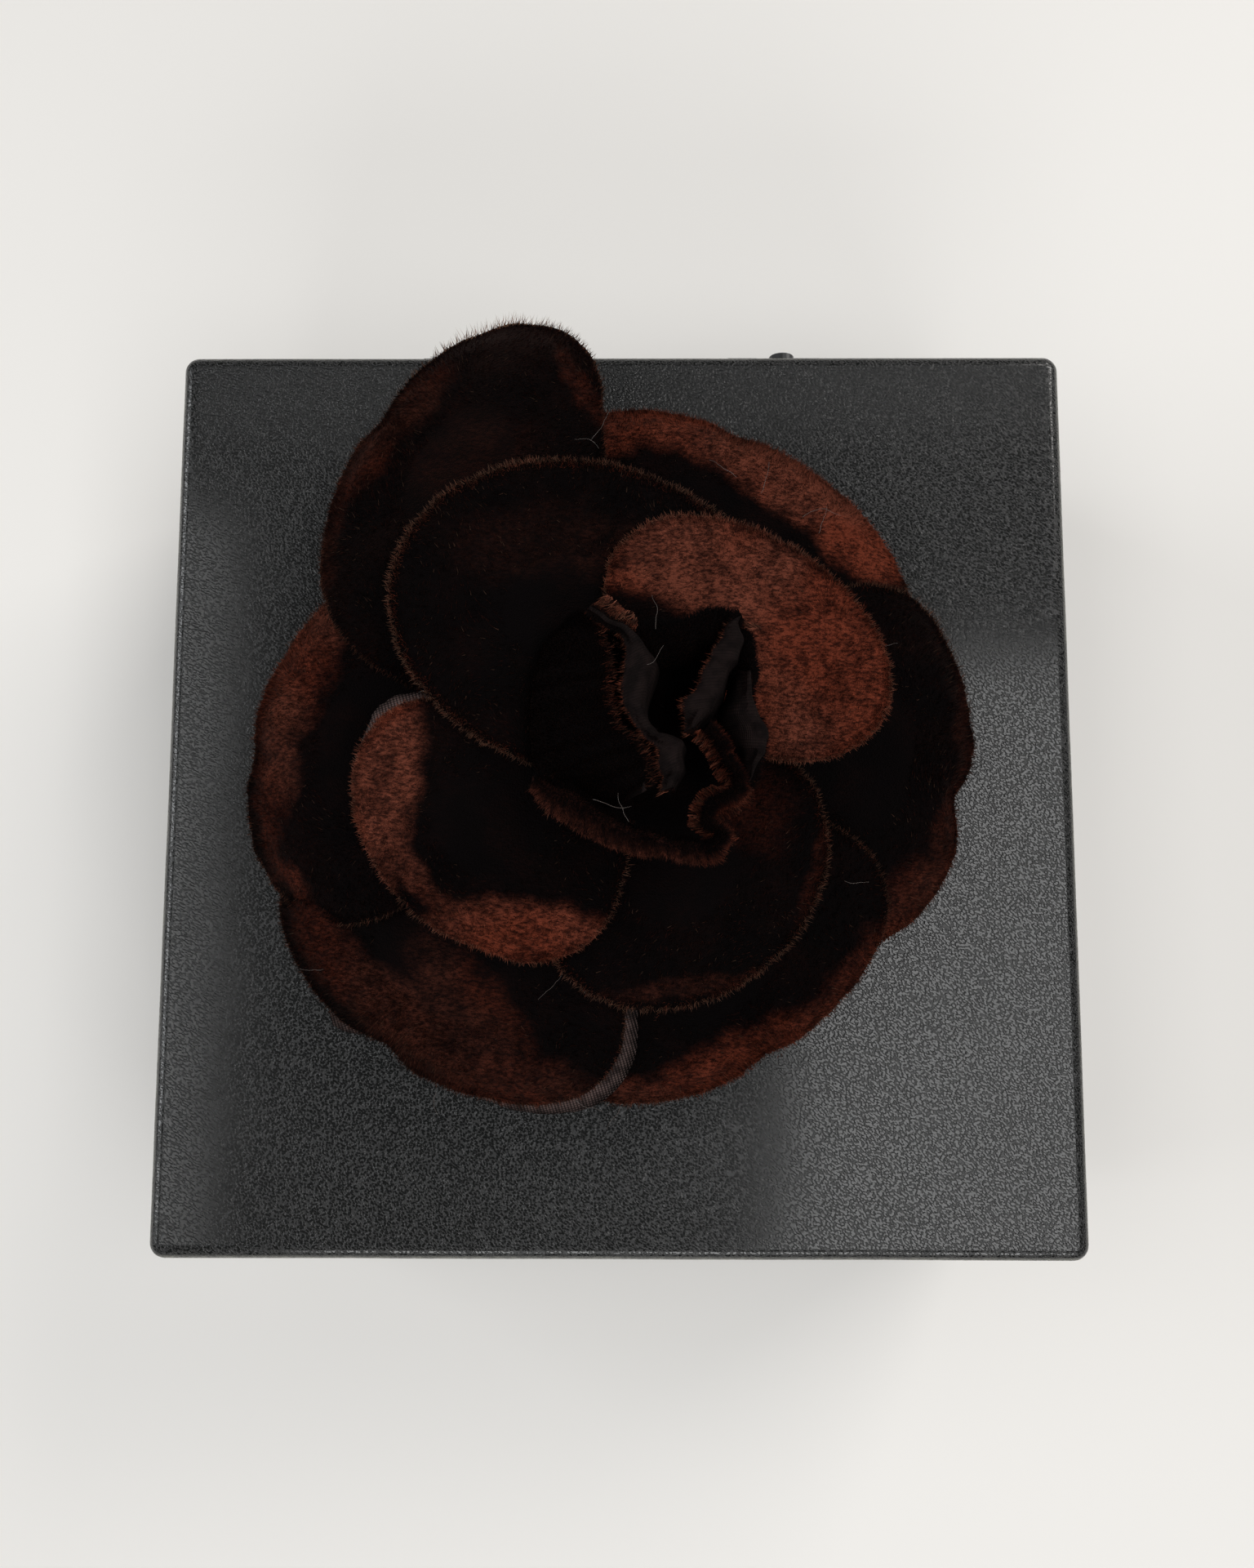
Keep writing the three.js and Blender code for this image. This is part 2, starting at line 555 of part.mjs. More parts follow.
function bandSolid(line, z0, z1, thickness) {
  const curve = new THREE.CatmullRomCurve3(line.map(([x, y]) => new THREE.Vector3(x, y, 0)));
  const steps = line.length * 2;
  const left = [];
  const right = [];
  for (let step = 0; step <= steps; step += 1) {
    const { x, y } = curve.getPointAt(step / steps);
    const along = curve.getTangentAt(step / steps);
    left.push(new THREE.Vector2(x - along.y * thickness / 2, y + along.x * thickness / 2));
    right.push(new THREE.Vector2(x + along.y * thickness / 2, y - along.x * thickness / 2));
  }
  const shape = new THREE.Shape([...left, ...right.reverse()]);
  return new THREE.ExtrudeGeometry(shape, { depth: z1 - z0, bevelEnabled: false }).translate(0, 0, z0);
}

function makeFlower() {
  const flower = new THREE.Group();
  flower.position.set(...FLOWER_CENTRE, 0);
  model.add(flower);
  const feltFloor = SOCKET_TOP + CLEARANCE;
  const felt = rodZ(FELT_RADIUS, feltFloor, feltFloor + FELT_THICKNESS, [0, 0], 36);
  addPiece('flower_felt_backing', felt, FELT, flower);
  OUTER_PETALS.forEach((petal, index) => {
    const solid = petalSolid(petal, FIRST_PETAL_TOP + index * PETAL_STEP, 0);
    addPiece(`outer_petal_${petal.name}`, solid, VELVET, flower);
  });
  MIDDLE_PETALS.forEach((petal, index) => {
    const level = OUTER_PETALS.length + index;
    const solid = petalSolid(petal, FIRST_PETAL_TOP + level * PETAL_STEP, MIDDLE_CUP);
    addPiece(`middle_petal_${petal.name}`, solid, VELVET, flower);
  });
  const outline = new THREE.SplineCurve(BUD_HEART.map(([x, y]) => new THREE.Vector2(x, y)));
  const heart = new THREE.Shape(outline.getSpacedPoints(28));
  const heartDepth = { depth: BUD_HEART_DEPTH, bevelEnabled: false };
  const heartSolid = new THREE.ExtrudeGeometry(heart, heartDepth).translate(0, 0, BUD_FLOOR);
  addPiece('bud_petal_outer', heartSolid, VELVET, flower);
  Object.entries(BUD_FOLDS).forEach(([name, line]) => {
    const fold = bandSolid(line, BUD_FLOOR, BUD_TOP, BUD_FOLD_THICKNESS);
    addPiece(`bud_petal_${name}`, fold, VELVET, flower);
  });
}

makeBase();
makeLid();
makeHinge(-1, 'left');
makeHinge(1, 'right');
makeRivets();
makePressStud();
makeFlower();

export default model;
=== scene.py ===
"""Box clutch with a velvet camellia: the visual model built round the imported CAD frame.

Metres throughout, in the CAD's own frame: +Z up, +Y towards the hinged back, origin under the base.
The flower's tables are in millimetres from the flower's centre and are scaled by MM.
"""
import math
import random

import bmesh
import bpy
from mathutils import Matrix, Vector, noise


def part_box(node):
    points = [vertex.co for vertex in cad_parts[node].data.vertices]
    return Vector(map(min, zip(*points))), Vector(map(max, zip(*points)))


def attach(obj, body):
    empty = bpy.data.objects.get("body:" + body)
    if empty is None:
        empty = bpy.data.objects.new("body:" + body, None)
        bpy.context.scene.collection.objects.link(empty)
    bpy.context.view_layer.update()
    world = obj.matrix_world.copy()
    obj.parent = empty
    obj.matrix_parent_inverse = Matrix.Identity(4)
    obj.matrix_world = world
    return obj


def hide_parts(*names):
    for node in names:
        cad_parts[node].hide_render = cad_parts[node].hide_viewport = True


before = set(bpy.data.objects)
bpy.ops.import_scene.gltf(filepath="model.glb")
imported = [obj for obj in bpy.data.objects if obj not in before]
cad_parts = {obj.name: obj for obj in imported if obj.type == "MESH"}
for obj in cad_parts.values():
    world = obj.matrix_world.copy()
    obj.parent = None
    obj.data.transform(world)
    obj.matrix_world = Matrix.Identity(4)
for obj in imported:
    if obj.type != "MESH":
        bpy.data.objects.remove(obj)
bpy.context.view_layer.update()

MM = 0.001
SEED = 8

# The box, read from the frame
BASE_LOW, BASE_HIGH = (Vector(corner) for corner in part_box("base_leather"))
LID_LOW, LID_HIGH = (Vector(corner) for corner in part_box("lid_leather"))
HALF = LID_HIGH.x
LID_TOP = LID_HIGH.z
LID_RIM = LID_LOW.z
BASE_RIM = BASE_HIGH.z
LINING_LOW, LINING_HIGH = (Vector(corner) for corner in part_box("base_lining"))
COLLAR_LOW, COLLAR_HIGH = (Vector(corner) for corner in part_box("rim_collar"))
SOCKET_LOW, SOCKET_HIGH = (Vector(corner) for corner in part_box("press_stud_socket"))
FLOWER_CENTRE = (SOCKET_LOW + SOCKET_HIGH) / 2
LEATHER = 1.0 * MM
CORNER_RADIUS = 2.2 * MM
EDGE_RADIUS = 2.0 * MM
NOTCH_RADIUS = 8 * MM
NOTCH_DEPTH = 3 * MM
NOTCH_BLEND = 9 * MM
SUEDE = 0.6 * MM

# The camera's place from the middle of the lid's top, its turns in degrees and its lens in millimetres
CAMERA_PLACE = (0.0022, -0.01845, 0.1742)
CAMERA_TURNS = (("Z", 0.1), ("Y", 0.36), ("X", 6.33))
CAMERA_LENS = 29.37
SENSOR_WIDTH = 36


# ---------------------------------------------------------------- camera, floor and lights
def make_camera():
    data = bpy.data.cameras.new("camera")
    camera = bpy.data.objects.new("camera", data)
    bpy.context.collection.objects.link(camera)
    data.sensor_width = SENSOR_WIDTH
    data.lens = CAMERA_LENS
    data.clip_start = 0.01
    pan, roll, tilt = (Matrix.Rotation(math.radians(degrees), 4, axis) for axis, degrees in CAMERA_TURNS)
    x, y, above = CAMERA_PLACE
    camera.matrix_world = Matrix.Translation((x, y, LID_TOP + above)) @ (pan @ roll) @ tilt
    bpy.context.scene.camera = camera


def add_light(name, place, size, power, colour=(1, 1, 1), up=(0, 0, 1)):
    """A soft box that faces the middle of the lid; up is the way its second side runs."""
    data = bpy.data.lights.new(name, "AREA")
    data.shape = "RECTANGLE"
    data.size, data.size_y = size
    data.energy = power
    data.color = colour
    light = bpy.data.objects.new(name, data)
    bpy.context.collection.objects.link(light)
    backward = (Vector(place) - Vector((0, 0, LID_TOP))).normalized()
    across = Vector(up).cross(backward).normalized()
    turn = Matrix((across, backward.cross(across), backward)).transposed().to_4x4()
    light.matrix_world = Matrix.Translation(place) @ turn


def make_stage():
    """A plain pale floor, a faint sky and soft boxes. The ceiling's three are what the lid reflects."""
    mesh = bpy.data.meshes.new("floor")
    reach = 3.0
    corners = [(-reach, -reach, 0), (reach, -reach, 0), (reach, reach, 0), (-reach, reach, 0)]
    mesh.from_pydata(corners, [], [(0, 1, 2, 3)])
    floor = bpy.data.objects.new("floor", mesh)
    bpy.context.collection.objects.link(floor)
    mesh.materials.append(Graph("floor_pale", base=(0.66, 0.645, 0.62), roughness=0.6).material)
    world = bpy.data.worlds.new("studio")
    world.use_nodes = True
    background = world.node_tree.nodes["Background"]
    background.inputs["Color"].default_value = (0.96, 0.98, 1.0, 1)
    background.inputs["Strength"].default_value = 0.09
    bpy.context.scene.world = world
    north = (0, 1, 0)
    add_light("ceiling_right", (0.44, -0.22, 1.15), (0.60, 1.00), 8.0, up=north)
    add_light("ceiling_left", (-0.60, -0.02, 1.15), (0.36, 0.90), 2.6, up=north)
    add_light("ceiling_back", (0.05, 0.68, 1.10), (1.20, 0.40), 0.8, up=north)
    add_light("back_right", (0.75, 0.75, 0.75), (0.7, 0.5), 7.5, (1.0, 0.97, 0.94))
    add_light("side_left", (-1.05, 0.1, 0.6), (0.9, 0.5), 7.0, (0.96, 0.98, 1.0))
    add_light("front", (0.1, -1.1, 0.7), (0.9, 0.4), 6.0)
    bpy.context.scene.view_settings.view_transform = "Standard"


# ---------------------------------------------------------------- materials
class Graph:
    """A material's node graph round one Principled shader. Its patterns lie in the object's own space."""

    def __init__(self, name, base=(0.5, 0.5, 0.5), roughness=0.5):
        self.material = bpy.data.materials.new(name)
        self.material.use_nodes = True
        self.tree = self.material.node_tree
        self.shader = self.tree.nodes["Principled BSDF"]
        self.place = self.add("TexCoord").outputs["Object"]
        self.uniform(Base_Color=(*base, 1), Roughness=roughness)

    def uniform(self, **values):
        """Sets shader values that are the same all over. An underscore stands for a space."""
        for label, value in values.items():
            self.shader.inputs[label.replace("_", " ")].default_value = value

    def add(self, kind, settings=None, **inputs):
        node = self.tree.nodes.new("ShaderNode" + kind)
        for key, value in (settings or {}).items():
            setattr(node, key, value)
        for key, value in inputs.items():
            self.feed(node.inputs[key.replace("_", " ")], value)
        return node

    def feed(self, socket, value):
        if isinstance(value, bpy.types.NodeSocket):
            self.tree.links.new(value, socket)
        else:
            socket.default_value = value

    def math(self, operation, first, second=0.0, clamp=False):
        node = self.add("Math", {"operation": operation, "use_clamp": clamp})
        self.feed(node.inputs[0], first)
        self.feed(node.inputs[1], second)
        return node.outputs[0]

    def plus(self, first, second):
        return self.math("ADD", first, second)

    def times(self, first, second):
        return self.math("MULTIPLY", first, second)

    def mix(self, amount, first, second):
        """Blends two colours, each a socket or (red, green, blue)."""
        node = self.add("Mix", {"data_type": "RGBA"})
        self.feed(node.inputs["Factor"], amount)
        for index, colour in ((6, first), (7, second)):
            self.feed(node.inputs[index], (*colour, 1) if isinstance(colour, tuple) else colour)
        return node.outputs[2]

    def ramp(self, value, low, high):
        return self.add("MapRange", {"interpolation_type": "SMOOTHSTEP"}, Value=value,
                        From_Min=low, From_Max=high).outputs[0]

    def attribute(self, name):
        return self.add("Attribute", {"attribute_name": name}).outputs["Fac"]

    def noise(self, size, detail=2.0, roughness=0.5, vector=None):
        return self.add("TexNoise", Vector=vector or self.place, Scale=1 / size, Detail=detail,
                        Roughness=roughness).outputs["Fac"]

    def bump(self, height, distance, strength=1.0):
        node = self.add("Bump", Height=height, Distance=distance, Strength=strength)
        self.tree.links.new(node.outputs[0], self.shader.inputs["Normal"])

    def colour(self, socket):
        self.tree.links.new(socket, self.shader.inputs["Base Color"])

    def rough(self, socket):
        self.tree.links.new(socket, self.shader.inputs["Roughness"])


def leather_material():
    """Embossed pebble grain, drawn out along slanting creases, with painted shade in its valleys and a pale
    edge line from an attribute, partly wear and partly a painted highlight.
    """
    pebbles_per_metre, wander, crease_turn, crease_stretch = 3300.0, 0.25 * MM, -35, (1.5, 0.8, 1.0)
    graph = Graph("black_grained_leather", roughness=0.35)
    drift = graph.add("TexNoise", Vector=graph.place, Scale=450.0, Detail=3.0).outputs["Color"]
    shifted = graph.add("VectorMath", {"operation": "MULTIPLY_ADD"})
    for socket, value in zip(shifted.inputs, (drift, (wander, wander, wander), graph.place)):
        graph.feed(socket, value)
    creased = graph.add("Mapping", {"vector_type": "TEXTURE"}, Vector=shifted.outputs[0],
                        Rotation=(0, 0, math.radians(crease_turn)), Scale=crease_stretch)
    cells = graph.add("TexVoronoi", {"feature": "SMOOTH_F1"}, Vector=creased.outputs[0],
                      Scale=pebbles_per_metre, Smoothness=0.2).outputs["Distance"]
    pebble = graph.math("SUBTRACT", 1.0, cells)
    pores = graph.noise(0.25 * MM)
    crown = graph.ramp(graph.plus(pebble, graph.times(pores, 0.4)), 0.48, 0.76)
    # Painted shade: the grain's valleys are coloured darker than its crowns
    tone = graph.mix(crown, (0.0012, 0.0013, 0.0013), (0.0040, 0.0042, 0.0040))
    speckle = graph.ramp(graph.noise(1.1 * MM, 4.0), 0.42, 0.62)
    # A pale edge line, speckled, partly wear and partly a painted highlight on the rounded edge
    wear_and_highlight = graph.times(graph.attribute("wear_and_highlight"), graph.plus(0.35, graph.times(speckle, 0.65)))
    graph.colour(graph.mix(wear_and_highlight, tone, (0.12, 0.12, 0.095)))
    valley = graph.times(graph.math("SUBTRACT", 1.0, crown), 0.30)
    polish = graph.plus(0.09, graph.times(graph.noise(14 * MM, 3.0), 0.05))
    graph.rough(graph.plus(polish, valley))
    graph.bump(crown, 0.06 * MM)
    return graph.material


def velvet_material(name, fibre):
    """Near black pile with a painted sheen: red-brown and mottled where the lit attribute paints it bright.
    A fibre's tone attribute makes it paler; the cloth has relief instead."""
    graph = Graph(name, roughness=0.85)
    graph.uniform(Specular_IOR_Level=0.03, Sheen_Weight=0.03, Sheen_Roughness=0.4,
                  Sheen_Tint=(0.5, 0.2, 0.13, 1))
    sheen_mottle = graph.ramp(graph.noise(2.6 * MM, 4.0, 0.65), 0.30, 0.70)
    combed = graph.add("Mapping", Vector=graph.place, Rotation=(0, 0, math.radians(35)),
                       Scale=(0.6, 1.4, 1.0))
    tuft = graph.noise(0.5 * MM, 3.0, 0.75, vector=combed.outputs[0])
    # Painted sheen: the lit attribute, mottled by noise, sets how far the colour goes towards red-brown
    painted_sheen_level = graph.times(graph.attribute("lit"), graph.plus(0.50, sheen_mottle))
    haze = graph.ramp(graph.noise(8 * MM, 3.0, 0.6), 0.40, 0.75)
    shown = graph.plus(painted_sheen_level, graph.times(haze, 0.022))
    grain = graph.plus(0.30, graph.times(graph.ramp(tuft, 0.36, 0.66), 1.45))
    level = graph.math("MULTIPLY", graph.times(shown, grain), 0.65, clamp=True)
    pink = graph.ramp(graph.noise(17 * MM, 1.0), 0.42, 0.6)
    # The painted sheen's red-brown colour
    bright = graph.mix(pink, (0.122, 0.026, 0.0130), (0.125, 0.035, 0.0205))
    brown = graph.mix(level, (0.0013, 0.0008, 0.0009), bright)
    if fibre:
        brown = graph.mix(graph.attribute("tone"), brown, (0.24, 0.135, 0.088))
    else:
        graph.bump(graph.plus(tuft, graph.noise(0.22 * MM, 1.0)), 0.35 * MM, 0.8)
    graph.colour(brown)
    return graph.material


def backing_material():
    """Dark ribbed cloth: threads across the strip, finer threads along it. pale is 1 on the petals."""
    rib_pitch, weft_pitch = 0.42 * MM, 0.30 * MM
    graph = Graph("woven_backing", roughness=0.8)
    graph.uniform(Specular_IOR_Level=0.05)
    turns = (graph.times(graph.attribute("thread"), math.pi / rib_pitch),
             graph.times(graph.attribute("cross"), math.pi / weft_pitch))
    ribs, weft = (graph.math("ABSOLUTE", graph.math("SINE", turn)) for turn in turns)
    weave = graph.times(ribs, graph.plus(0.35, graph.times(weft, 0.65)))
    fuzz = graph.ramp(graph.noise(1.6 * MM, 3.0), 0.3, 0.7)
    tone = graph.math("MULTIPLY", weave, graph.plus(0.30, fuzz), clamp=True)
    bright = graph.mix(graph.attribute("pale"), (0.016, 0.0098, 0.0090), (0.085, 0.058, 0.053))
    graph.colour(graph.mix(tone, (0.002, 0.0013, 0.0013), bright))
    graph.bump(weave, 0.12 * MM, 0.8)
    return graph.material


def suede_material():
    graph = Graph("brown_suede", roughness=0.95)
    graph.uniform(Sheen_Weight=0.5, Sheen_Roughness=0.6, Sheen_Tint=(0.6, 0.4, 0.3, 1))
    nap = graph.ramp(graph.noise(9 * MM, 4.0, 0.65), 0.35, 0.65)
    graph.colour(graph.mix(nap, (0.032, 0.015, 0.010), (0.062, 0.031, 0.021)))
    graph.bump(graph.noise(0.4 * MM), 0.15 * MM, 0.5)
    return graph.material


def lacquer_material():
    graph = Graph("black_lacquered_metal", roughness=0.28)
    graph.uniform(Coat_Weight=0.2, Coat_Roughness=0.12, Metallic=0.4)
    smudge = graph.noise(2.5 * MM, 3.0)
    graph.colour(graph.mix(graph.ramp(smudge, 0.4, 0.7), (0.012, 0.012, 0.013), (0.022, 0.022, 0.023)))
    graph.rough(graph.plus(0.3, graph.times(smudge, 0.2)))
    graph.bump(graph.noise(0.5 * MM), 0.02 * MM, 0.5)
    return graph.material


def steel_material():
    graph = Graph("plain_steel", base=(0.55, 0.55, 0.56), roughness=0.3)
    graph.uniform(Metallic=1.0)
    brushed_along = graph.add("Mapping", Vector=graph.place, Scale=(0.08, 1.0, 1.0))
    scratches = graph.noise(0.15 * MM, 3.0, vector=brushed_along.outputs[0])
    graph.rough(graph.plus(0.2, graph.times(scratches, 0.25)))
    graph.bump(scratches, 0.01 * MM, 0.5)
    return graph.material


def mottled_material(name, roughness, grain, low, dark, light, relief, strength, sheen=0.0):
    """A plain material whose colour and relief follow one noise of (size, detail, roughness)."""
    graph = Graph(name, roughness=roughness)
    graph.uniform(Sheen_Weight=sheen)
    fibre = graph.noise(*grain)
    graph.colour(graph.mix(graph.ramp(fibre, low, 0.7), dark, light))
    graph.bump(fibre, relief, strength)
    return graph.material


def thread_material():
    graph = Graph("frayed_thread", roughness=0.6)
    graph.uniform(Sheen_Weight=0.3)
    graph.colour(graph.mix(graph.noise(1.5 * MM), (0.02, 0.012, 0.009), (0.075, 0.048, 0.036)))
    return graph.material


# ---------------------------------------------------------------- mesh helpers
def new_piece(name, points, faces, materials, body, replaced=(), slots=None, smooth=True):
    """Adds a mesh that rides on body, takes a material slot and stands for the replaced CAD nodes."""
    mesh = bpy.data.meshes.new(name)
    mesh.from_pydata([tuple(point) for point in points], [], faces)
    for material in materials:
        mesh.materials.append(material)
    if slots is not None:
        mesh.polygons.foreach_set("material_index", slots)
    mesh.polygons.foreach_set("use_smooth", [smooth] * len(mesh.polygons))
    mesh.update()
    piece = bpy.data.objects.new(name, mesh)
    bpy.context.collection.objects.link(piece)
    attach(piece, body)
    if replaced:
        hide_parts(*replaced)
    return piece


def set_attribute(piece, name, values):
    layer = piece.data.attributes.new(name, "FLOAT", "POINT")
    layer.data.foreach_set("value", values)


def face_outwards(piece, weld=False):
    """Turns every face outwards, after merging coinciding points if weld is set."""
    work = bmesh.new()
    work.from_mesh(piece.data)
    if weld:
        bmesh.ops.remove_doubles(work, verts=work.verts, dist=0.001 * MM)
    bmesh.ops.recalc_face_normals(work, faces=work.faces)
    work.to_mesh(piece.data)
    work.free()


def smoothstep(low, high, value):
    share = min(max((value - low) / (high - low), 0.0), 1.0)
    return share * share * (3 - 2 * share)


def rounded_square(half, radius, corner_steps=8, side_steps=24):
    """An anticlockwise square with round corners, starting in the middle of the right side."""
    straight = half - radius
    points = []
    for side in range(4):
        turn = Matrix.Rotation(side * math.pi / 2, 2)
        for step in range(side_steps):
            along = -straight + 2 * straight * step / side_steps
            points.append(turn @ Vector((half, along)))
        for step in range(corner_steps):
            angle = math.pi / 2 * step / corner_steps
            spot = Vector((straight + radius * math.cos(angle), straight + radius * math.sin(angle)))
            points.append(turn @ spot)
    return points


def square_sweep(profile, side_steps=24):
    """Carries (half-width, height) points round the square. A profile that starts and ends on
    half-width 0 is filled, and any other closes on itself."""
    least_radius = 0.3 * MM
    points, rings, faces = [], [], []
    for half, height in profile:
        start = len(points)
        if half == 0:
            points.append(Vector((0, 0, height)))
            rings.append([start])
            continue
        radius = max(CORNER_RADIUS - (HALF - half), least_radius)
        plan = rounded_square(half, radius, side_steps=side_steps)
        points += [Vector((spot.x, spot.y, height)) for spot in plan]
        rings.append(list(range(start, len(points))))
    closed = profile[0][0] != 0
    for lower, upper in zip(rings, rings[1:] + rings[:1] if closed else rings[1:]):
        count = max(len(lower), len(upper))
        for side in range(count):
            after = (side + 1) % count
            corners = [lower[side % len(lower)], lower[after % len(lower)],
                       upper[after % len(upper)], upper[side % len(upper)]]
            face = list(dict.fromkeys(corners))
            if len(face) > 2:
                faces.append(face)
    return points, faces


def arc(centre, radius, start, end, steps):
    """Points on an arc in the (half-width, height) plane, angles in degrees."""
    turns = [math.radians(start + (end - start) * step / steps) for step in range(steps + 1)]
    return [(centre[0] + radius * math.cos(turn), centre[1] + radius * math.sin(turn)) for turn in turns]


def spaced(start, end, steps):
    return [start + (end - start) * step / steps for step in range(steps + 1)]


# ---------------------------------------------------------------- box
def hand_wrapped(point, amount=0.06 * MM):
    """The slight unevenness of leather pulled over board by hand."""
    drift = noise.noise_vector(point * 45) * amount + noise.noise_vector(point * 160) * amount * 0.4
    return point + drift


def edge_wear_and_highlight(point, top):
    """1 in a thin line where the wall meets the rounded top edge, and 0 elsewhere."""
    outward = max(abs(point.x), abs(point.y))
    near_side = smoothstep(HALF - 0.7 * MM, HALF - 0.2 * MM, outward)
    near_top = smoothstep(top - 4.0 * MM, top - 2.6 * MM, point.z)
    return near_side * near_top


def make_lid_leather(leather):
    rim = LID_RIM
    inner = HALF - 3.3 * MM
    bead = 0.45 * MM
    outer_wall = [(HALF, height) for height in spaced(rim + 1.6 * MM, LID_TOP - EDGE_RADIUS - 1 * MM, 5)]
    edge = arc((HALF - EDGE_RADIUS, LID_TOP - EDGE_RADIUS), EDGE_RADIUS, 0, 90, 7)
    top = [(half, LID_TOP) for half in spaced(HALF - 3 * MM, 2 * MM, 14)]
    profile = (
        [(0, LID_TOP - LEATHER), (HALF - LEATHER, LID_TOP - LEATHER), (HALF - LEATHER, rim + LEATHER)]
        + [(inner, rim + LEATHER), (inner, rim), (HALF - bead, rim)]
        + arc((HALF - bead, rim + bead), bead, -60, 0, 3)
        + outer_wall + edge + top + [(0, LID_TOP)]
    )
    points, faces = square_sweep(profile)
    points = [hand_wrapped(point) if point.z > rim + 2 * MM else point for point in points]
    piece = new_piece("lid_leather_wrap", points, faces, [leather], "lid",
                      ["lid_leather"])
    # The pale edge line: partly wear, partly a painted highlight
    set_attribute(piece, "wear_and_highlight", [edge_wear_and_highlight(point, LID_TOP) for point in points])


def thumb_dip(point):
    """Presses the base's front rim down into a round thumb notch."""
    if point.y > -HALF + 6 * MM or point.z < BASE_RIM - NOTCH_BLEND:
        return point
    centre = BASE_RIM + NOTCH_RADIUS - NOTCH_DEPTH
    reach = math.sqrt(NOTCH_RADIUS ** 2 - (NOTCH_RADIUS - NOTCH_DEPTH) ** 2)
    across = min(abs(point.x), reach)
    dip = BASE_RIM - (centre - math.sqrt(NOTCH_RADIUS ** 2 - across ** 2))
    share = smoothstep(BASE_RIM - NOTCH_BLEND, BASE_RIM - 1 * MM, point.z)
    return point - Vector((0, 0, dip * share))


def make_base_leather(leather):
    low = BASE_LOW.z
    inner = HALF - 3.7 * MM
    foot, bead = 0.9 * MM, 0.45 * MM
    walls = [(HALF, height) for height in spaced(low + 2 * MM, BASE_RIM - 1 * MM, 14)]
    flange = HALF - 9.9 * MM
    profile = (
        [(flange, low), (HALF - foot, low)]
        + arc((HALF - foot, low + foot), foot, -70, 0, 4)
        + walls
        + arc((HALF - bead, BASE_RIM - bead), bead, 20, 90, 3)
        + [(inner, BASE_RIM), (inner, BASE_RIM - LEATHER), (HALF - LEATHER, BASE_RIM - LEATHER)]
        + [(HALF - LEATHER, height) for height in spaced(BASE_RIM - 3 * MM, low + LEATHER, 8)]
        + [(flange, low + LEATHER)]
    )
    points, faces = square_sweep(profile, side_steps=120)
    points = [thumb_dip(hand_wrapped(point) if point.z > low + 2 * MM else point) for point in points]
    piece = new_piece("base_leather_wrap", points, faces, [leather], "base",
                      ["base_leather"])
    # The pale edge line: partly wear, partly a painted highlight
    set_attribute(piece, "wear_and_highlight", [0.6 * edge_wear_and_highlight(point, BASE_RIM + 1 * MM) for point in points])


def make_collar(leather):
    low, high = COLLAR_LOW.z, COLLAR_HIGH.z
    face = COLLAR_HIGH.x
    back = face - 1.8 * MM
    round_edge = 0.5 * MM
    profile = (
        [(back, low), (face, low)]
        + [(face, height) for height in spaced(low + 6 * MM, high - 2 * MM, 5)]
        + arc((face - round_edge, high - round_edge), round_edge, 0, 90, 4)
        + arc((back + round_edge, high - round_edge), round_edge, 90, 180, 4)
    )
    points, faces = square_sweep(profile)
    new_piece("rim_collar_leather", points, faces, [leather], "base", ["rim_collar"])


def make_base_lining(suede):
    low, high = LINING_LOW.z, LINING_HIGH.z
    outer = LINING_HIGH.x
    inner = outer - SUEDE
    floor = low + SUEDE
    bend = 2.5 * MM
    swell = 0.9 * MM
    profile = (
        [(0, low), (outer, low)]
        + [(outer, height) for height in spaced(low + 5 * MM, high, 6)]
        + [(inner, height) for height in spaced(high, floor + bend + 1 * MM, 6)]
        + arc((inner - bend, floor + bend), bend, 0, -90, 6)
        + [(half, floor) for half in spaced(inner - bend - 2 * MM, 2 * MM, 12)] + [(0, floor)]
    )
    points, faces = square_sweep(profile)

    def soften(point):
        inside = max(abs(point.x), abs(point.y)) < inner + 0.1 * MM
        if not inside or point.z > high - 0.5 * MM:
            return point
        crown = 0.0
        if abs(point.z - floor) < 0.1 * MM:
            reach = max(abs(point.x), abs(point.y)) / inner
            crown = swell * (1 - reach ** 4)
        ripple = 0.12 * MM * noise.noise(point * 70)
        return point + Vector((0, 0, crown + ripple))

    points = [soften(point) for point in points]
    piece = new_piece("base_lining_suede", points, faces, [suede], "base", ["base_lining"])


def make_lid_lining(suede):
    """A thin padded panel under the lid, covered in suede, with a stitched border."""
    pad_low, pad_high = (Vector(corner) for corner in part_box("lid_pad"))
    lining_low, _ = (Vector(corner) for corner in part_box("lid_lining"))
    half = -lining_low.x - 1.6 * MM
    top, bottom = pad_high.z, lining_low.z
    side = (top + bottom) / 2
    roll = 1.3 * MM
    bulge, border_bulge, stitch_depth, stitch_width = 1.0 * MM, 0.5 * MM, 0.35 * MM, 0.6 * MM
    profile = [(0, bottom)] + [(h, bottom) for h in spaced(2 * MM, half - 1.4 * MM, 22)]
    profile += arc((half - roll, side), roll, -90, 90, 6)
    profile += [(h, top) for h in spaced(half - 3 * MM, 4 * MM, 4)] + [(0, top)]
    points, faces = square_sweep(profile)
    seam = half - 7 * MM

    def puff(point):
        outward = max(abs(point.x), abs(point.y))
        if point.z > side:
            return point
        inside = smoothstep(0, 9 * MM, seam - outward)
        border = smoothstep(0, 2.5 * MM, outward - seam) * smoothstep(0, 2.5 * MM, half - outward)
        stitch = stitch_depth * math.exp(-((outward - seam) / stitch_width) ** 2)
        drop = bulge * inside + border_bulge * border - stitch
        return point - Vector((0, 0, drop + 0.15 * MM * noise.noise(point * 60) * inside))

    points = [puff(point) for point in points]
    piece = new_piece("lid_lining_panel", points, faces, [suede], "lid",
                      ["lid_lining", "lid_pad"])


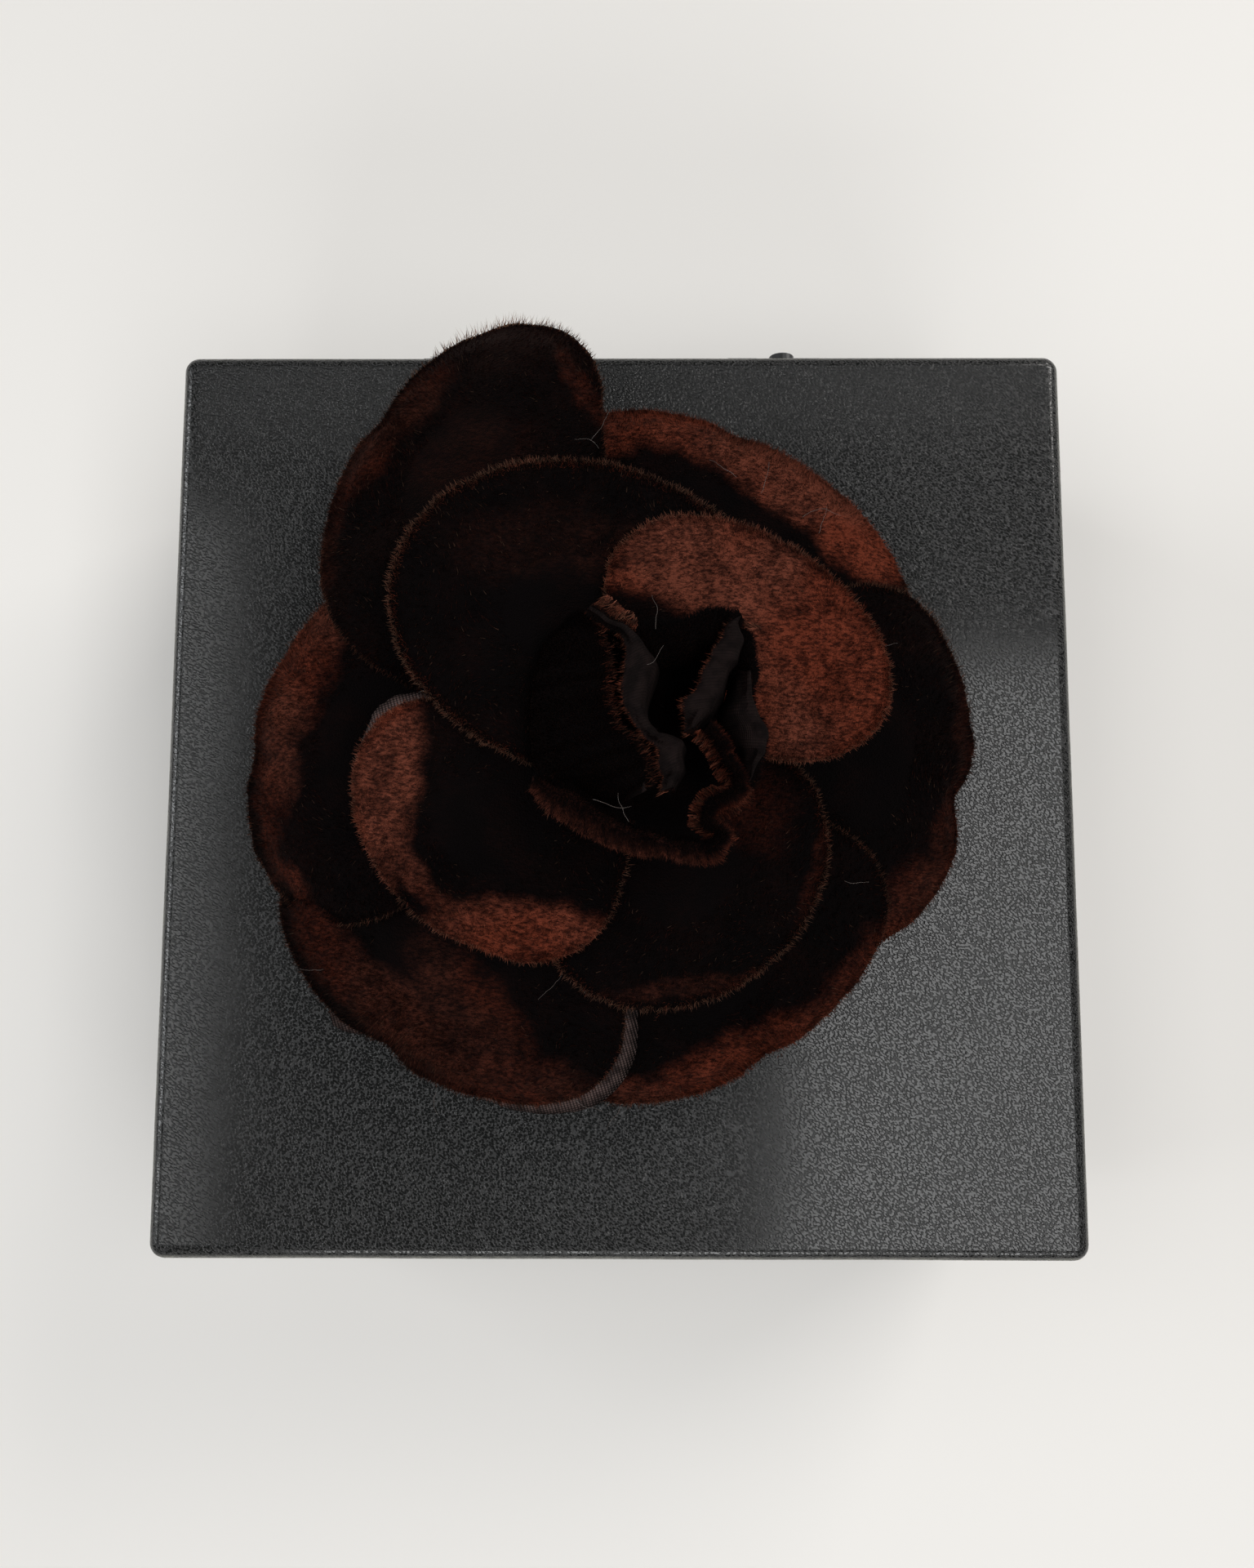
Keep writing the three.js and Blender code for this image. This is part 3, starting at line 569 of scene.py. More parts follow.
def make_base_pad(material):
    """Foam under the base's lining: a plump slab with rounded edges and a faintly uneven top."""
    low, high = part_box("base_pad")
    half, floor, top = high[0], low[2], high[2]
    rounding = (top - floor) / 2
    points, faces = [], []
    steps = 48
    for sign in (1, -1):
        for row in range(steps + 1):
            for column in range(steps + 1):
                x, y = (2 * row / steps - 1) * half, (2 * column / steps - 1) * half
                inset = min(half - abs(x), half - abs(y), rounding) / rounding
                swell = math.sqrt(max(1 - (1 - inset) ** 2, 0.0))
                height = rounding * swell * (1 - 0.05 * (1 + noise.noise(Vector((x, y, sign)) * 90)))
                points.append(Vector((x, y, floor + rounding + sign * height)))
    wide = steps + 1
    count = wide * wide
    for row in range(steps):
        for column in range(steps):
            a = row * wide + column
            faces.append((a, a + wide, a + wide + 1, a + 1))
            faces.append((a + count, a + 1 + count, a + wide + 1 + count, a + wide + count))
    piece = new_piece("base_foam", points, faces, [material], "base", ["base_pad"])
    face_outwards(piece, weld=True)


def make_felt(material):
    """The felt disc that the petals are glued to, its rim snipped by hand and a little fuzzy."""
    low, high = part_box("flower_felt_backing")
    radius, floor, top = (high[0] - low[0]) / 2, low[2], high[2]
    rings, sides = 14, 120
    points = []
    for face_height in (top, floor):
        for ring in range(rings + 1):
            for side in range(sides):
                angle = 2 * math.pi * side / sides
                snip = Vector((math.cos(angle) * 5, math.sin(angle) * 5, 1))
                reach = radius * ring / rings * (0.985 + 0.015 * noise.noise(snip))
                x, y = reach * math.cos(angle), reach * math.sin(angle)
                lumps = 0.06 * MM * noise.noise(Vector((x, y, face_height)) * 400)
                points.append(Vector((FLOWER_CENTRE.x + x, FLOWER_CENTRE.y + y, face_height - abs(lumps))))
    count = (rings + 1) * sides
    faces = []
    for ring in range(rings):
        for side in range(sides):
            a, b = ring * sides + side, ring * sides + (side + 1) % sides
            faces.append((a, a + sides, b + sides, b))
            faces.append((a + count, b + count, b + sides + count, a + sides + count))
    rim = rings * sides
    for side in range(sides):
        a, b = rim + side, rim + (side + 1) % sides
        faces.append((a, a + count, b + count, b))
    piece = new_piece("flower_felt", points, faces, [material], "flower", ["flower_felt_backing"])
    face_outwards(piece, weld=True)


# ---------------------------------------------------------------- flower: shapes shared by all petals
# One petal's plan is an oval, as in the CAD: at places its middle from the flower's centre, long and
# short are its half-lengths, heading is the long one's, and a dent parts the rim in two lobes.
# dent_at goes round from the petal's outermost side.
OUTER = [
    dict(name="back_right", at=(10, 27.6), long=27.5, short=15.5, heading=-30, dent_at=10, dent=0.04),
    dict(name="right", at=(29, -3), long=23.5, short=14.5, heading=86, dent_at=-16, dent=0.14),
    dict(name="front_right", at=(9, -30), long=24.5, short=13.5, heading=32, dent_at=12, dent=0.05),
    dict(name="front_left", at=(-25.5, -30), long=24.5, short=14, heading=-30, dent_at=1, dent=0.10),
    dict(name="left", at=(-35, -1.5), long=23.5, short=17, heading=72, dent_at=1, dent=0.05),
    dict(name="back_left", at=(-24, 33.5), long=26.5, short=16.5, heading=66, dent_at=11, dent=0.03),
]
MIDDLE = [
    dict(name="front", at=(4.5, -17.5), long=19, short=15.5, heading=40, dent_at=0, dent=0.0),
    dict(name="left", at=(-19.5, -13), long=18.5, short=13, heading=-45, dent_at=52, dent=0.05),
    dict(name="back", at=(-7.5, 13), long=24, short=19, heading=166, dent_at=0, dent=0.0),
    dict(name="right", at=(12, 10), long=19, short=12.5, heading=-35, dent_at=0, dent=0.0),
]
DENT_WIDTH = 0.28
# Heights above the underside, the cloth's thickness, and the least distance of a root, in millimetres
FIRST_PETAL_TOP = 57.0
PETAL_STEP = 1.4
PETAL_ROOT = 4.0
CLOTH = 0.7
CUP = 0.003
# How far an outer petal droops near its rim, how much further on its free outermost side, how far a
# middle petal droops, and how far a dent sinks. A petal lies free between these distances out.
WHOLE_DROOP = 0.5
RIM_DROOP = 2.3
MIDDLE_DROOP = 0.7
DENT_SINK = 0.9
FREE_FROM, FREE_FULLY = 33, 42
# Round patches of painted shadow that the bud casts on the pile, as (middle, all dark within, clear beyond)
BUD_PAINTED_SHADOW = (((0, -2), 9.5, 12), ((-4, 4), 11, 14.5))

# Patches of painted sheen, where the pile is coloured red-brown as if it caught the light, as (x, y,
# half-length, half-width, turn, strength), in millimetres and degrees from the flower's centre
PAINTED_SHEEN_PATCHES = {
    "outer_back_left": [(-36.5, 38, 8, 3, 57, 0.18), (-41, 27, 10, 1.4, 85, 0.10),
                        (-31, 45, 7, 3, 50, 0.18), (-8.5, 46, 7, 1.4, -62, 0.20),
                        (-22, 36, 9, 5, 20, 0.04)],
    "outer_back_right": [(6, 42, 13, 3.6, -20, 0.80), (19, 35, 12, 4.5, -31, 1.20),
                         (28, 28, 8, 4.6, -50, 1.40), (-3, 42, 4, 3, 30, 0.60)],
    "outer_right": [(42, 4, 10, 1.4, 88, 0.08), (39, -13, 7, 1.8, 75, 0.14), (36, -21, 8, 4.5, 35, 0.28),
                    (32.5, -25, 4, 1.5, 20, 0.45)],
    "outer_front_right": [(14, -41, 15, 4.0, 22, 0.52), (28, -31, 9, 3.6, 50, 0.34),
                          (-1, -46, 8, 2.2, 6, 0.42)],
    "outer_front_left": [(-22, -35, 10, 4.6, -50, 0.20), (-19, -43.5, 12, 3.6, -10, 0.24),
                         (-39, -29, 9, 3.4, -52, 0.24), (-31, -36, 9, 4, -40, 0.24)],
    "outer_left": [(-44.5, 9, 12, 4.6, 68, 0.54), (-47.5, -3, 7, 3.0, 90, 0.32),
                   (-49, -12, 6, 1.5, 100, 0.2), (-45.5, -18.5, 4, 1.2, -50, 0.3)],
    "middle_front": [(13, -9.5, 6.5, 4.5, -60, 0.12), (6, -31.5, 12, 1, 8, 0.12),
                     (21, -16, 8, 0.8, 70, 0.12)],
    "middle_left": [(-31.6, -7, 14, 4.2, 84, 0.72), (-28, -18, 8, 1.6, -55, 0.35),
                    (-15, -25, 10.5, 3.5, -4, 0.95)],
    "middle_back": [(-15, 22, 9, 4.5, 10, 0.04), (-5, 21, 6, 4, 0, 0.06)],
    "middle_right": [(12, 9.5, 20, 12, -36, 0.98), (2, 16, 9, 3.2, -5, 1.35), (14, 18.5, 14, 3, -28, 1.0),
                     (24.5, 5, 9, 5, -70, 0.90)],
}
# Stretches of rim where the woven backing shows past the velvet, as (turn, half-width, amount), in
# degrees and millimetres
PEEKS = {
    "outer_front_left": [(96, 34, 2.3), (-22, 9, 1.4)],
    "middle_left": [(-88, 16, 1.5)],
}


def rotated(x, y, degrees):
    angle = math.radians(degrees)
    return x * math.cos(angle) - y * math.sin(angle), x * math.sin(angle) + y * math.cos(angle)


def oval_radius(petal, angle):
    from_long = angle - math.radians(petal["heading"])
    return 1 / math.hypot(math.cos(from_long) / petal["long"], math.sin(from_long) / petal["short"])


def petal_spot(petal, turn, scale):
    """A point of the petal's plan. turn goes round from its outermost side, scale from its middle
    to the rim. An oval that ends short of the flower's root has its inner end drawn in to it."""
    distance, outward = math.hypot(*petal["at"]), math.atan2(petal["at"][1], petal["at"][0])
    from_dent = (turn - math.radians(petal["dent_at"])) / DENT_WIDTH
    radius = oval_radius(petal, outward + turn) * (1 - petal["dent"] * math.exp(-from_dent * from_dent))
    short_by = max(distance - oval_radius(petal, outward) - PETAL_ROOT, 0)
    drawn_in = short_by * max(-math.cos(turn), 0) ** 3
    along, across = scale * (radius * math.cos(turn) - drawn_in), scale * radius * math.sin(turn)
    return rotated(distance + along, across, math.degrees(outward))


def dome(radius):
    return 3 - 3 * ((radius - 22) / 22) ** 2


def shared_folds(x, y):
    """Soft folds that every petal follows alike, so that stacked petals stay apart."""
    here = Vector((x, y, 0)) * 0.07
    return 1.1 * noise.noise(here) + 0.35 * noise.noise(here * 3.1)


def petal_height(petal, top, cup, x, y, scale, turn, outer):
    radius = math.hypot(x, y)
    height = top + dome(radius) + cup * radius * radius + shared_folds(x, y)
    free = smoothstep(FREE_FROM, FREE_FULLY, radius)
    if outer:
        outermost = smoothstep(-0.1, 0.6, math.cos(turn))
        height -= (WHOLE_DROOP + RIM_DROOP * free * outermost) * smoothstep(0.74, 1.0, scale) ** 1.6
        from_dent = (turn - math.radians(petal["dent_at"])) / (0.46 * DENT_WIDTH)
        height -= DENT_SINK * math.exp(-from_dent * from_dent) * smoothstep(0.45, 1, scale) * free
    else:
        height -= MIDDLE_DROOP * smoothstep(0.8, 1.0, scale) ** 2
    return height


def to_world(x, y, z):
    return Vector((FLOWER_CENTRE.x + x * MM, FLOWER_CENTRE.y + y * MM, z * MM))


def painted_sheen_at(sheen_patches, x, y):
    """How bright the painted sheen on the pile is at a point; a painted shadow keeps it dark under the bud.
    """
    strongest = 0.0
    wander = noise.noise_vector(Vector((x, y, 3)) * 0.35) * 1.1
    for px, py, long, wide, turn, strength in sheen_patches:
        along, across = rotated(x + wander.x - px, y + wander.y - py, -turn)
        away = (along / long) ** 2 + (across / wide) ** 2
        strongest = max(strongest, strength * (1 - smoothstep(0.15, 1.75, away)))
    # Painted shadow: darkens the painted sheen under the bud
    clear = 1.0
    for (middle_x, middle_y), dark, light in BUD_PAINTED_SHADOW:
        clear *= smoothstep(dark, light, math.hypot(x - middle_x, y - middle_y))
    return strongest * clear


# ---------------------------------------------------------------- flower: pile fibres and threads
class Fibres:
    """Gathers thin closed spikes into one mesh."""

    def __init__(self):
        self.points, self.faces, self.lit, self.tone = [], [], [], []

    def spike(self, foot, direction, length, width, lit, tone, bend=0.0):
        side = direction.orthogonal().normalized()
        other = direction.cross(side)
        start = len(self.points)
        spin = random.uniform(0, 2 * math.pi)
        for corner in range(3):
            angle = spin + corner * 2 * math.pi / 3
            self.points.append(foot + (side * math.cos(angle) + other * math.sin(angle)) * width)
        self.points.append(foot + direction * length + side * bend)
        self.faces += [(start, start + 2, start + 1), (start, start + 1, start + 3),
                       (start + 1, start + 2, start + 3), (start + 2, start, start + 3)]
        self.lit += [lit] * 4
        self.tone += [tone * 0.6] * 3 + [tone]

    def make(self, name, material):
        piece = new_piece(name, self.points, self.faces, [material], "flower", smooth=False)
        set_attribute(piece, "lit", self.lit)
        set_attribute(piece, "tone", self.tone)
        return piece


def random_unit():
    return Vector((random.gauss(0, 1), random.gauss(0, 1), random.gauss(0, 1))).normalized()


def tube(points, radius, sides=5):
    """A closed thin tube along points, tapering to its end."""
    vertices, faces = [], []
    for index, point in enumerate(points):
        ahead = points[min(index + 1, len(points) - 1)] - points[max(index - 1, 0)]
        side = ahead.orthogonal().normalized()
        other = ahead.normalized().cross(side)
        size = radius * (1 - 0.5 * index / (len(points) - 1))
        for corner in range(sides):
            angle = corner * 2 * math.pi / sides
            vertices.append(point + (side * math.cos(angle) + other * math.sin(angle)) * size)
    for index in range(len(points) - 1):
        for corner in range(sides):
            a = index * sides + corner
            b = index * sides + (corner + 1) % sides
            faces.append((a, b, b + sides, a + sides))
    faces.append(tuple(range(sides - 1, -1, -1)))
    last = (len(points) - 1) * sides
    faces.append(tuple(range(last, last + sides)))
    return vertices, faces


# ---------------------------------------------------------------- flower: petals
SIDES = 168
RINGS = 30
RIM_START = 1 + (RINGS - 1) * SIDES
PILE_PER_MM2 = 6.0
RIM_FIBRES_PER_MM = 6.0
STUBBLE_PER_MM = 22.0
# Where the cosine of the turn is below this, the petal lies under its neighbours and has no pile
HIDDEN_SIDE = -0.8
# The share of the pile given a small painted highlight anywhere, and the share that is paler, and how much
STRAY_SHARE, STRAY_PAINTED_HIGHLIGHT = 0.25, 0.09
PALE_SHARE, PALE_TONE = 0.03, 0.15
# Fibres' lengths, from and to, and widths, in millimetres
PILE_LENGTH, PILE_WIDTH = (0.7, 1.15), 0.07
RIM_LENGTH, RIM_WIDTH = (0.5, 0.95), 0.05
STUBBLE_LENGTH, STUBBLE_WIDTH = (0.6, 1.0), 0.07
BUD_LENGTH, BUD_WIDTH = (0.6, 1.1), 0.06
ROLL_LENGTH, ROLL_WIDTH = (0.8, 1.5), 0.07


def ring_vertex(ring, side):
    """A point's number on a petal's face. Point 0 is the middle, and ring 1 is next to it."""
    return 1 + (ring - 1) * SIDES + side % SIDES


def petal_surface(petal, top, cup, outer):
    """The front's points ring by ring, as (turn, scale) pairs and world points."""
    spots = [(0.0, 0.0)]
    for ring in range(1, RINGS + 1):
        scale = 1 - (1 - ring / RINGS) ** 1.25
        spots += [(2 * math.pi * side / SIDES - math.pi, scale) for side in range(SIDES)]
    points = []
    for turn, scale in spots:
        x, y = petal_spot(petal, turn, scale)
        points.append(Vector((x, y, petal_height(petal, top, cup, x, y, scale, turn, outer))))
    return spots, points


def ragged(key, turn):
    """Small irregular steps of the hand-cut rim, in millimetres."""
    where = Vector((math.cos(turn) * 9, math.sin(turn) * 9, len(key) * 3.7))
    return 0.28 * noise.noise(where) + 0.16 * noise.noise(where * 4)


class Skin:
    """A closed cloth's faces: slot 0 is velvet and slot 1 the woven backing."""

    def __init__(self):
        self.faces, self.slots = [], []

    def add(self, face, slot):
        self.faces.append(face)
        self.slots.append(slot)


def make_petal(petal, level, outer, materials, pile_material):
    ring_name = "outer" if outer else "middle"
    key = f"{ring_name}_{petal['name']}"
    top = FIRST_PETAL_TOP + level * PETAL_STEP
    cup = 0.0 if outer else CUP
    spots, front = petal_surface(petal, top, cup, outer)
    sheen_patches = PAINTED_SHEEN_PATCHES[key]
    for index in range(RIM_START, len(front)):
        turn, _ = spots[index]
        outward = (front[index].xy - front[0].xy).to_3d().normalized()
        front[index] = front[index] + outward * ragged(key, turn)
    back = [point - Vector((0, 0, CLOTH)) for point in front]
    for index in range(RIM_START, len(front)):
        turn, _ = spots[index]
        peek = sum(amount * math.exp(-((math.degrees(turn) - at) / wide) ** 2)
                   for at, wide, amount in PEEKS.get(key, []))
        outward = (back[index].xy - back[0].xy).normalized()
        back[index] = back[index] + Vector((*(outward * (peek - 0.15)), 0.35 * min(peek, 1)))
    count = len(front)
    points = front + back
    skin = Skin()
    for side in range(SIDES):
        first, second = ring_vertex(1, side), ring_vertex(1, side + 1)
        skin.add((0, first, second), 0)
        skin.add((count, second + count, first + count), 1)
        for ring in range(1, RINGS):
            a, b = ring_vertex(ring, side), ring_vertex(ring + 1, side)
            c, d = ring_vertex(ring + 1, side + 1), ring_vertex(ring, side + 1)
            skin.add((a, b, c, d), 0)
            skin.add((a + count, d + count, c + count, b + count), 1)
        rim, after = ring_vertex(RINGS, side), ring_vertex(RINGS, side + 1)
        skin.add((rim, rim + count, after + count, after), 1)
    world = [to_world(*point) for point in points]
    piece = new_piece(f"{key}_petal", world, skin.faces, materials, "flower",
                      [f"{ring_name}_petal_{petal['name']}"], skin.slots)
    # Painted sheen, and the bud's painted shadow, per point as the lit attribute
    set_attribute(piece, "lit", [painted_sheen_at(sheen_patches, point.x, point.y) for point in points])
    set_attribute(piece, "thread", [(point.x + 0.3 * point.y) * MM for point in points])
    set_attribute(piece, "cross", [(point.y - 0.3 * point.x) * MM for point in points])
    set_attribute(piece, "pale", [1.0] * len(points))
    pile = make_pile(key, spots, front, sheen_patches, pile_material)
    area = outline_area(front[RIM_START:]) * MM * MM


def outline_area(rim):
    pairs = zip(rim, rim[1:] + rim[:1])
    return abs(sum(a.x * b.y - b.x * a.y for a, b in pairs)) / 2


def make_pile(key, spots, front, sheen_patches, material):
    """Short leaning fibres over the petal's open part and a denser fringe along its cut rim."""
    fibres = Fibres()
    area = outline_area(front[RIM_START:])
    for _ in range(int(area * PILE_PER_MM2)):
        ring = 1 + int((RINGS - 1) * math.sqrt(random.uniform(0.12, 1)))
        side = random.randrange(SIDES)
        here, beside = ring_vertex(ring, side), ring_vertex(ring, side + 1)
        inward = here - SIDES if ring > 1 else 0
        if math.cos(spots[here][0]) < HIDDEN_SIDE:
            continue
        along, across = random.random(), random.random()
        foot = front[here].lerp(front[beside], along).lerp(front[inward], across)
        normal = (front[beside] - front[here]).cross(front[inward] - front[here]).normalized()
        if normal.z < 0:
            normal = -normal
        flow = noise.noise_vector(Vector((foot.x, foot.y, 7)) * 0.11)
        lean = Vector((flow.x, flow.y, 0)) * 1.5
        direction = (normal * 0.75 + lean + random_unit() * 0.35).normalized()
        # Painted sheen on each pile fibre, with a few painted stray highlights
        lit = painted_sheen_at(sheen_patches, foot.x, foot.y) * random.uniform(0.3, 1.9)
        lit += STRAY_PAINTED_HIGHLIGHT if random.random() < STRAY_SHARE else 0
        length = random.uniform(*PILE_LENGTH)
        tone = PALE_TONE if random.random() >= 1 - PALE_SHARE else 0.0
        fibres.spike(to_world(*(foot - normal * 0.15)), direction, length * MM, PILE_WIDTH * MM, lit, tone)
    add_rim_fibres(fibres, key, spots, front, sheen_patches)
    return fibres.make(f"{key}_petal_pile", material)


# How thickly each petal's cut rim is stubbled with paler pile, which also carries more painted sheen
STUBBLE = {
    "outer_back_left": 0.25, "outer_back_right": 0.2, "outer_right": 0.45, "outer_front_right": 0.45,
    "outer_front_left": 0.2, "outer_left": 0.2,
    "middle_front": 0.8, "middle_left": 0.45, "middle_back": 1.0, "middle_right": 0.8,
}
# Stretches of rim with longer, paler pile: turn and half-width in degrees, then how much longer the
# pile is, how pale it is everywhere on the rim, and how much paler there
LONG_FRINGE = {
    "outer_back_left": (-43, 28, 1.3, 0.12, 0.85),
    "outer_right": (64, 28, 0.5, 0.1, 0.25),
}


def long_fringe(key, turn):
    """How far the pile stands out past the rim, as a factor, and how pale it is."""
    if key not in LONG_FRINGE:
        return 1.0, 0.15 if key.startswith("outer") else 0.26
    at, half_width, longer, pale, paler = LONG_FRINGE[key]
    share = math.exp(-((math.degrees(turn) - at) / half_width) ** 2)
    return 1 + longer * share, pale + paler * share


def add_rim_fibres(fibres, key, spots, front, sheen_patches):
    """A fringe that leans out past the rim, then a band of upright stubble just inside it."""
    stubble = STUBBLE[key]
    for side in range(SIDES):
        here, beside = ring_vertex(RINGS, side), ring_vertex(RINGS, side + 1)
        inward = here - SIDES
        turn = spots[here][0]
        if math.cos(turn) < HIDDEN_SIDE:
            continue
        step = front[beside] - front[here]
        outward = (front[here] - front[inward]).normalized()
        factor, pale = long_fringe(key, turn)
        for _ in range(max(1, round(step.length * RIM_FIBRES_PER_MM * (0.7 + 0.3 * factor)))):
            foot = front[here] + step * random.random() - outward * random.uniform(0.1, 0.5)
            direction = outward * 0.9 + Vector((0, 0, 0.55)) + random_unit() * 0.45
            length = random.uniform(*RIM_LENGTH) * factor
            # Painted sheen: the rim fringe is painted brighter than the patches beneath it
            lit = 1.4 * painted_sheen_at(sheen_patches, foot.x, foot.y) + random.uniform(0.05, 0.4)
            tone = pale * random.uniform(0.2, 1.4)
            fibres.spike(to_world(*foot), direction.normalized(), length * MM, RIM_WIDTH * MM,
                         lit, tone, bend=random.uniform(0, 0.2) * MM)
        for _ in range(round(step.length * STUBBLE_PER_MM * stubble)):
            inset = random.uniform(0, 1.3) ** 1.3
            foot = front[here] + step * random.random() - outward * inset
            direction = outward * 0.45 + Vector((0, 0, 0.9)) + random_unit() * 0.6
            # Painted sheen on the stubble
            lit = painted_sheen_at(sheen_patches, foot.x, foot.y) + random.uniform(0, 0.5) * stubble
            tone = random.uniform(0.02, 0.34) * stubble * (1 - smoothstep(0.2, 0.9, inset))
            length = random.uniform(*STUBBLE_LENGTH)
            fibres.spike(to_world(*foot), direction.normalized(), length * MM, STUBBLE_WIDTH * MM,
                         lit, tone)


# ---------------------------------------------------------------- flower: bud
# Each bud petal is a strip of velvet carried between two lines, in millimetres from the flower's
# centre. Its section gives (share of the way from the first line to the second, height).
RIBBON = [(1.25, 74.5), (1.15, 78), (1.06, 81), (0.97, 82.4), (0.78, 82.9), (0.5, 82.7), (0.22, 82.2),
          (0, 81.3)]
LIP = [(0, 75), (0.04, 78.5), (0.12, 81.2), (0.3, 82.3), (0.55, 82.4), (0.8, 81.8), (1, 80.4),
       (1.02, 79.2)]
SLOPE = [(0, 74.2), (0.1, 77.2), (0.4, 79.8), (0.78, 81.2), (0.97, 81.8), (1.08, 81.2), (1.12, 79.5)]
DOME = [(0, 75), (0.3, 78.5), (0.62, 80.4), (0.9, 81.2), (1.05, 80.4), (1.12, 78), (1.14, 75)]
HEART = [(1, 72.6), (0.82, 75.4), (0.58, 78), (0.32, 80), (0.1, 80.9), (0, 80.8)]
# Each strip's lit is its painted sheen; a negative one paints the strip darker than the velvet's faint haze
BUD = {
    "outer": dict(
        section=HEART, woven_up=False, lit=-0.04, fringe=0.5,
        first=[(-6.4, 11), (-4.9, 8), (-4.3, 4.6), (-4.3, 1.4), (-3.4, -1.4), (-1.4, -3.8), (0.2, -6),
               (0, -9)],
        second=[(-9, 12.4), (-12.4, 9), (-13.6, 4.5), (-13.8, 0), (-13.6, -4), (-13, -6.6), (-10, -9),
                (-5, -11)]),
    "back": dict(
        section=DOME, woven_up=False, lit=-0.02, fringe=0.0,
        first=[(0.9, 5.8), (2.2, 6), (3.8, 6.2), (5.6, 6.4), (8, 6), (9.4, 4.6), (9.8, 3), (10, 1.6)],
        second=[(-2.6, 8), (-0.2, 9.9), (3.2, 9.9), (6.7, 11), (9.5, 10.7), (11.5, 8.8), (12, 6),
                (12.1, 3.2)]),
    "left": dict(
        section=RIBBON, woven_up=True, lit=0.0, fringe=1.0,
        first=[(-6.9, 11.1), (-5.2, 9.9), (-3.3, 8.7), (-2.4, 6.8), (-2.7, 4.4), (-2.9, 2.2), (-2.4, 0),
               (-1.2, -2), (0.1, -3.4), (1.1, -4.8), (1.6, -6.4), (1.7, -8), (1.5, -9.6)],
        second=[(-6.4, 11.6), (-4.5, 10.5), (-2.6, 9.5), (-0.6, 7.8), (0.6, 5.6), (0.3, 2.8), (-0.2, 0.6),
                (0.4, -1.6), (1.8, -2.8), (3.7, -3.6), (4.3, -5.1), (3.8, -7.2), (3, -9.2)]),
    "middle": dict(
        section=RIBBON, woven_up=True, lit=0.0, fringe=1.0,
        first=[(10.2, 10.3), (8.4, 8.6), (7.2, 6.6), (6.4, 4.4), (5.3, 2.4), (4.2, 0.7), (3.9, -1.4),
               (4, -3)],
        second=[(10.6, 10.2), (10.5, 8.3), (10.2, 6.2), (9.1, 4.3), (8.3, 2.4), (7.9, 0.9), (6.4, -0.8),
                (5.2, -2.6)]),
    "right": dict(
        section=SLOPE, woven_up=True, lit=0.0, fringe=0.9,
        first=[(9.8, 4.4), (8.9, 1.8), (8.4, -0.3), (8.8, -2.2), (9.7, -4.2), (10.4, -6.1), (10.8, -7.8)],
        second=[(11.6, 4.2), (11.5, 1.6), (12.6, -0.8), (13.3, -2.8), (13.1, -4.8), (12.2, -6.7),
                (11.5, -8.4)]),
    "front": dict(
        section=LIP, woven_up=False, lit=0.10, fringe=1.0,
        first=[(6.6, -2.4), (8.1, -4.5), (9.4, -6.8), (10.2, -8.6), (9.6, -9.4), (8, -10), (6.5, -11.4),
               (6.7, -13), (7.8, -14.2), (7.3, -15.2), (5, -14.9), (1.6, -14.1), (-1.3, -13.2),
               (-4.7, -11.4), (-7.4, -9.4), (-9.8, -8.2), (-11.9, -7.9)],
        second=[(7.2, -2), (8.8, -4), (10.1, -6.3), (11.1, -8.5), (10.5, -10.1), (8.5, -10.8),
                (7.3, -11.8), (7.6, -12.9), (8.7, -14), (8.5, -15.8), (7, -17.1), (3.3, -16.5),
                (-0.2, -16.1), (-3.8, -14.9), (-7.3, -13.3), (-10.7, -11), (-12.9, -8.8)]),
}
BUD_CLOTH = 0.55
BUD_FOOT = 76.0
BUD_CREST = 81.0
BUD_PILE = 3
ROLL_FIBRES = 12
ACROSS = 20


def along_curve(points, share):
    """Catmull-Rom through points, share from 0 to 1 along it."""
    spans = len(points) - 1
    place = min(share * spans, spans - 1e-6)
    index = int(place)
    t = place - index
    p0 = points[max(index - 1, 0)]
    p1, p2 = points[index], points[index + 1]
    p3 = points[min(index + 2, spans)]
    return [0.5 * (2 * b + (c - a) * t + (2 * a - 5 * b + 4 * c - d) * t * t
                   + (3 * b - a - 3 * c + d) * t ** 3) for a, b, c, d in zip(p0, p1, p2, p3)]


def bud_surface(strip, seed):
    """The strip's upper face, section by section, and the length of its second line."""
    line = strip["second"]
    length = sum((Vector(b) - Vector(a)).length for a, b in zip(line, line[1:]))
    steps = max(24, int(length * 4))
    points = []
    for step in range(steps + 1):
        share = step / steps
        ruffle = noise.noise_vector(Vector((share * length * 0.55, seed, 9))).xy * 0.6
        first = Vector(along_curve(strip["first"], share)) + ruffle
        second = Vector(along_curve(line, share)) + ruffle
        wave = 0.45 * noise.noise(Vector((share * length * 0.4, seed, 0)))
        wave += 0.15 * noise.noise(Vector((share * length * 1.3, seed, 5)))
        for index in range(ACROSS + 1):
            across, height = along_curve(strip["section"], index / ACROSS)
            rise = smoothstep(BUD_FOOT, BUD_CREST, height)
            spot = first.lerp(second, across)
            points.append(Vector((spot.x, spot.y, height + wave * rise)))
    return points, steps, length


def strip_normals(points, steps):
    wide = ACROSS + 1
    normals = []
    for step in range(steps + 1):
        for index in range(wide):
            ahead = points[min(step + 1, steps) * wide + index] - points[max(step - 1, 0) * wide + index]
            over = points[step * wide + min(index + 1, ACROSS)] - points[step * wide + max(index - 1, 0)]
            normals.append(ahead.cross(over).normalized())
    if sum(normal.z for normal in normals) < 0:
        normals = [-normal for normal in normals]
    return normals


